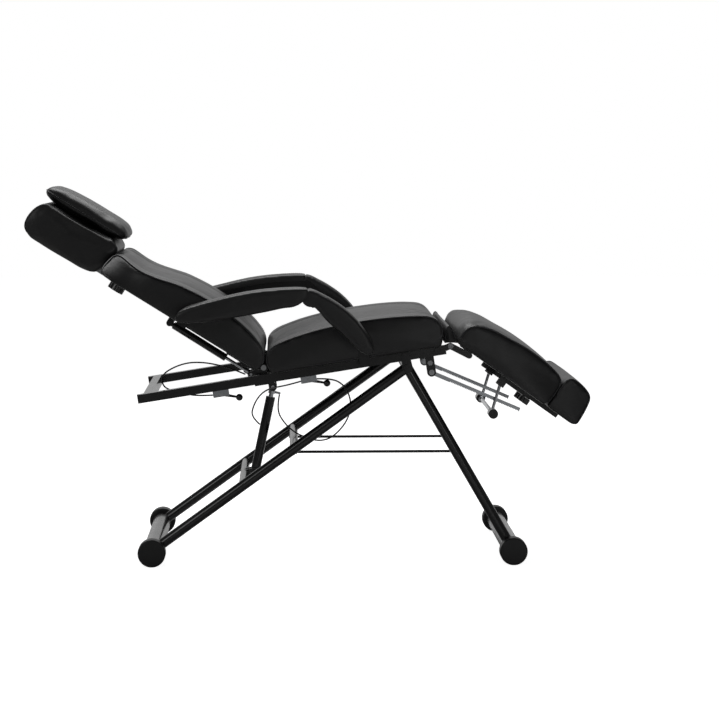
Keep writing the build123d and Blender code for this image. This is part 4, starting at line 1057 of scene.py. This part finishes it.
@dataclass
class LegFlap:
    """Vinyl flap that bridges the gap between the seat and the leg rest.

    Attributes:
        half: Half its width.
        strips: Faces across it.
        binding: Radius of the hem at each edge.
        tuck: How far the ring of an end sheet of painted shade tucks into the fold.
        centre_tuck: How far the middle of such an end sheet tucks in.
        arch: Places along and up of its fold, in millimetres.
    """

    half: float = 284.0
    strips: int = 24
    binding: float = 1.3
    tuck: float = 9.0
    centre_tuck: float = 12.0
    arch: tuple[tuple[float, float], ...] = (
        (320.5, 643), (322, 661), (324, 680), (327.5, 689), (332, 692), (337, 688), (343, 677),
        (349, 661), (355, 643))

    def build(self) -> bpy.types.Object:
        """Bend the flap from one strip, hem it at both edges and close both ends with dark sheets of painted
        shade.

        Returns:
            The flap.
        """
        shape = bmesh.new()
        path = [Vector((x * MM, -self.half * MM, z * MM)) for x, z in self.arch]
        row = [shape.verts.new(place) for place in path]
        edges = [shape.edges.new(pair) for pair in zip(row, row[1:])]
        step = 2 * self.half * MM / self.strips
        for _ in range(self.strips):
            grown = bmesh.ops.extrude_edge_only(shape, edges=edges)["geom"]
            edges = [part for part in grown if isinstance(part, bmesh.types.BMEdge)
                     and all(vertex in grown for vertex in part.verts)]
            fresh = [part for part in grown if isinstance(part, bmesh.types.BMVert)]
            bmesh.ops.translate(shape, vec=(0, step, 0), verts=fresh)
        bmesh.ops.recalc_face_normals(shape, faces=shape.faces)
        mesh = bpy.data.meshes.new("leg_flap")
        shape.to_mesh(mesh)
        shape.free()
        mesh.shade_smooth()
        obj = add_object("leg_flap", mesh)
        SHOP.dress(obj, Finish.LEATHER)
        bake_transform(obj)
        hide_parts("seat_flap")
        for side, hand in ((-1, "right"), (1, "left")):
            edge = [Vector((place.x, side * self.half * MM, place.z)) for place in path]
            # A dark sheet at each end is painted shade: it darkens the shaded inside of the fold
            self.add_shade_sheet(hand, edge)
            tube = tube_mesh("hem", edge, self.binding * MM, cyclic=False)
            hem = add_object(f"leg_flap_hem_{hand}", tube)
            SHOP.dress(hem, Finish.PIPING)
            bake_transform(hem)
        LOG.info("%s folded, with hems and shade_sheets", obj.name)
        return obj

    def add_shade_sheet(self, hand: str, edge: list[Vector]) -> None:
        """Close an open end of the fold with a slack triangle of black vinyl, a sheet of painted shade that
        stands in for the shade inside the fold.

        Args:
            hand: Side of the sitter that the end is on.
            edge: Places along the hem at that end.
        """
        shape = bmesh.new()
        inward = -1 if hand == "left" else 1
        rim = [shape.verts.new(place) for place in edge]
        base = (edge[0] + edge[-1]) / 2
        # The middle of the painted-shade sheet tucks a little into the fold
        tucked = [shape.verts.new(place.lerp(base, 0.5) + Vector((0, inward * self.tuck * MM, 0)))
                  for place in edge]
        for index in range(len(rim) - 1):
            shape.faces.new((rim[index], rim[index + 1], tucked[index + 1], tucked[index]))
        centre = shape.verts.new(base + Vector((0, inward * self.centre_tuck * MM, 0)))
        for low, high in zip(tucked, tucked[1:]):
            shape.faces.new((low, high, centre))
        bmesh.ops.recalc_face_normals(shape, faces=shape.faces)
        mesh = bpy.data.meshes.new("leg_flap_shade_sheet")
        shape.to_mesh(mesh)
        shape.free()
        mesh.shade_smooth()
        obj = add_object(f"leg_flap_shade_sheet_{hand}", mesh)
        SHOP.dress(obj, Finish.LEATHER)
        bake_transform(obj)


@dataclass
class Cables:
    """Cables from the hand levers' brackets to the heads of the gas springs.

    Attributes:
        radius: Radius of a cable.
        routes: For each cable its solid's name, its own name and its places.
    """

    radius: float = 2.25
    routes: tuple[tuple[str, str, tuple[tuple[float, float, float], ...]], ...] = (
        ("back_cable", "back_release_cable", (
            (-343.5, -250, 491.8), (-388, -235, 488), (-425, -208, 491), (-461, -177, 495),
            (-494, -146, 506), (-498, -114, 537), (-464, -90, 557), (-424, -67, 568),
            (-381, -48, 567), (-338, -33, 558), (-297, -14, 545), (-256, 0, 526))),
        ("lift_cables", "lift_release_cable", (
            (-154, 12.3, 464), (-163, 7, 418), (-141, -8, 381), (-111, -29, 355), (-76, -54, 342),
            (-40, -82, 335), (-6, -109, 345), (22, -133, 372), (43, -157, 404), (55, -178, 442),
            (51, -200, 482), (33, -222, 517), (-1, -242, 538), (-45.3, -250, 537.9))),
        ("lift_cables", "lift_return_cable", (
            (-91.5, -250, 530.7), (-128, -226, 518), (-152, -187, 509), (-172, -146, 501),
            (-192, -106, 490), (-213, -70, 470), (-231, -43, 438), (-239, -16, 400), (-213.4, 0, 375.4))))

    def build(self) -> None:
        """Lay each cable on one smooth curve."""
        for node, name, route in self.routes:
            curve = bpy.data.curves.new(name, "CURVE")
            curve.dimensions = "3D"
            curve.bevel_depth = self.radius * MM
            curve.bevel_resolution = 3
            curve.resolution_u = 8
            curve.use_fill_caps = True
            spline = curve.splines.new("NURBS")
            spline.points.add(len(route) - 1)
            for knot, (x, y, z) in zip(spline.points, route):
                knot.co = (x * MM, y * MM, z * MM, 1.0)
            spline.order_u = 3
            spline.use_endpoint_u = True
            obj = add_object(name, curve)
            SHOP.dress(obj, Finish.SHEATH)
            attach(obj, "seat")
            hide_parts(node)
            LOG.info("%s laid", name)


class Metalwork:
    """Finishes of the solids that stay as they are."""

    FINISHES: dict[Finish, tuple[str, ...]] = {
        Finish.POWDER: (
            "foot_bars", "brace_tubes", "front_legs", "apex_tube", "base_crossbars", "seat_rails",
            "seat_crossbars", "pivot_plate", "seat_lugs", "seat_arm_brackets", "back_arm_brackets",
            "back_hinge_leaves", "leg_hinge_leaves", "head_sleeve", "foot_sleeve", "spring_bracket",
            "latch_yokes", "lift_cylinder", "back_cylinder", "tie_rods", "arm_upper_link_left",
            "arm_upper_link_right", "arm_front_link_left", "arm_front_link_right", "base_bolts",
            "foot_slide"),
        Finish.CHROME: ("latch_frame", "headrest_post", "back_rod", "lift_rod", "seat_bolts"),
        Finish.ZINC: ("rack_left", "rack_right", "lever_brackets", "back_release_arm", "lift_release_arm"),
        Finish.MOULDED: ("foot_caps", "rail_plugs"),
        Finish.GLOSSY: (
            "latch_grips", "head_lock_knob", "foot_lock_knob", "back_hand_lever", "lift_hand_lever"),
        Finish.BOARD: ("seat_board", "back_board", "leg_board"),
    }

    def build(self) -> None:
        """Give each solid its finish."""
        for finish, nodes in self.FINISHES.items():
            for node in nodes:
                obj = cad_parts[node]
                for slot in obj.material_slots:
                    slot.material = SHOP.get(finish)
            LOG.info("%s on %d solids", finish.name, len(nodes))


@dataclass(frozen=True)
class Lamp:
    """One soft lamp that faces a place.

    Attributes:
        name: Name of the lamp.
        place: Where it hangs.
        target: Where it faces.
        size: Its width and height.
        watts: Its power.
    """

    name: str
    place: tuple[float, float, float]
    target: tuple[float, float, float]
    size: tuple[float, float]
    watts: float

    def hang(self) -> None:
        """Hang the lamp, unseen by the camera."""
        data = bpy.data.lights.new(self.name, "AREA")
        data.shape = "RECTANGLE"
        data.size, data.size_y = self.size
        data.energy = self.watts
        lamp = bpy.data.objects.new(self.name, data)
        lamp.location = self.place
        facing = Vector(self.target) - Vector(self.place)
        lamp.rotation_euler = facing.to_track_quat("-Z", "Y").to_euler()
        lamp.visible_camera = False
        bpy.context.scene.collection.objects.link(lamp)


@dataclass
class Studio:
    """Pale floor, soft lights and the camera.

    Attributes:
        camera_place: Where the camera stands, in metres.
        yaw: How far it turns to the foot end, in degrees.
        pitch: How far it looks down, in degrees.
        focal_px: Its focal length in pixels of the frame.
        frame_px: Width of the frame in pixels.
        sensor_mm: Width of its sensor.
        clip_end: Furthest that it sees, in metres.
        floor_size: Half the width of the floor, in metres.
        room_light: Strength of the room on the chair.
        floor_glow: Strength of the floor's own white to the camera.
        lamps: The lamps.
    """

    camera_place: tuple[float, float, float] = (-0.1302, -6.3964, 1.186)
    yaw: float = 1.932
    pitch: float = 5.506
    focal_px: float = 2150.0
    frame_px: float = 719.0
    sensor_mm: float = 36.0
    clip_end: float = 60.0
    floor_size: float = 14.0
    room_light: float = 0.11
    floor_glow: float = 0.93
    lamps: tuple[Lamp, ...] = (
        Lamp("overhead", (-0.3, 0.9, 3.0), (0.0, 0.0, 0.5), (2.4, 2.4), 62),
        Lamp("front_fill", (-3.0, -3.6, 2.4), (0.0, 0.0, 0.5), (1.6, 1.6), 16),
        Lamp("foot_fill", (1.6, -5.2, 1.0), (0.3, 0.0, 0.5), (1.4, 1.4), 10),
        Lamp("backdrop", (0.0, 4.2, 1.7), (0.0, 0.0, 1.7), (9.0, 3.4), 44))

    def build(self) -> None:
        """Set the floor, the world, the lamps and the camera."""
        scene = bpy.context.scene
        scene.view_settings.view_transform = "Standard"
        self.add_floor()
        self.add_world(scene)
        for lamp in self.lamps:
            lamp.hang()
        camera = bpy.data.objects.new("camera", bpy.data.cameras.new("camera"))
        scene.collection.objects.link(camera)
        camera.data.sensor_width = self.sensor_mm
        camera.data.lens = self.focal_px / self.frame_px * self.sensor_mm
        camera.data.clip_end = self.clip_end
        camera.location = self.camera_place
        camera.rotation_euler = (pi / 2 - radians(self.pitch), 0.0, -radians(self.yaw))
        scene.camera = camera
        LOG.info("studio set with %d lamps", len(self.lamps))

    def add_floor(self) -> None:
        """Lay a white floor that takes the chair's shadow."""
        shape = bmesh.new()
        bmesh.ops.create_grid(shape, x_segments=1, y_segments=1, size=self.floor_size)
        mesh = bpy.data.meshes.new("floor")
        shape.to_mesh(mesh)
        shape.free()
        floor = add_object("floor", mesh)
        material, tree = new_material("white_floor")
        path = add_node(tree, "ShaderNodeLightPath")
        glow = add_node(
            tree, "ShaderNodeMapRange", {"To Max": self.floor_glow},
            {"Value": path.outputs["Is Camera Ray"]})
        white = add_node(tree, "ShaderNodeBsdfDiffuse", {"Color": linear("#d8d8d8")})
        light = add_node(
            tree, "ShaderNodeEmission", {"Color": linear("#ffffff")}, {"Strength": glow.outputs[0]})
        both = add_node(tree, "ShaderNodeAddShader")
        tree.links.new(white.outputs[0], both.inputs[0])
        tree.links.new(light.outputs[0], both.inputs[1])
        add_node(tree, "ShaderNodeOutputMaterial", links={"Surface": both.outputs[0]})
        floor.data.materials.append(material)

    def add_world(self, scene: bpy.types.Scene) -> None:
        """Light the room evenly, and show it white behind the chair.

        Args:
            scene: Scene that gets the world.
        """
        world = bpy.data.worlds.new("studio")
        world.use_nodes = True
        scene.world = world
        tree = world.node_tree
        tree.nodes.clear()
        path = add_node(tree, "ShaderNodeLightPath")
        strength = add_node(
            tree, "ShaderNodeMapRange", {"To Min": self.room_light, "To Max": 1.0},
            {"Value": path.outputs["Is Camera Ray"]})
        room = add_node(
            tree, "ShaderNodeBackground", {"Color": linear("#ffffff")}, {"Strength": strength.outputs[0]})
        add_node(tree, "ShaderNodeOutputWorld", links={"Surface": room.outputs[0]})


def main() -> None:
    """Dress the chair and set the studio."""
    logging.basicConfig(level=logging.INFO, format="%(name)s: %(message)s")
    Metalwork().build()
    Cables().build()
    LegFlap().build()
    Upholstery().build()
    Studio().build()


if __name__ == "__main__":
    main()
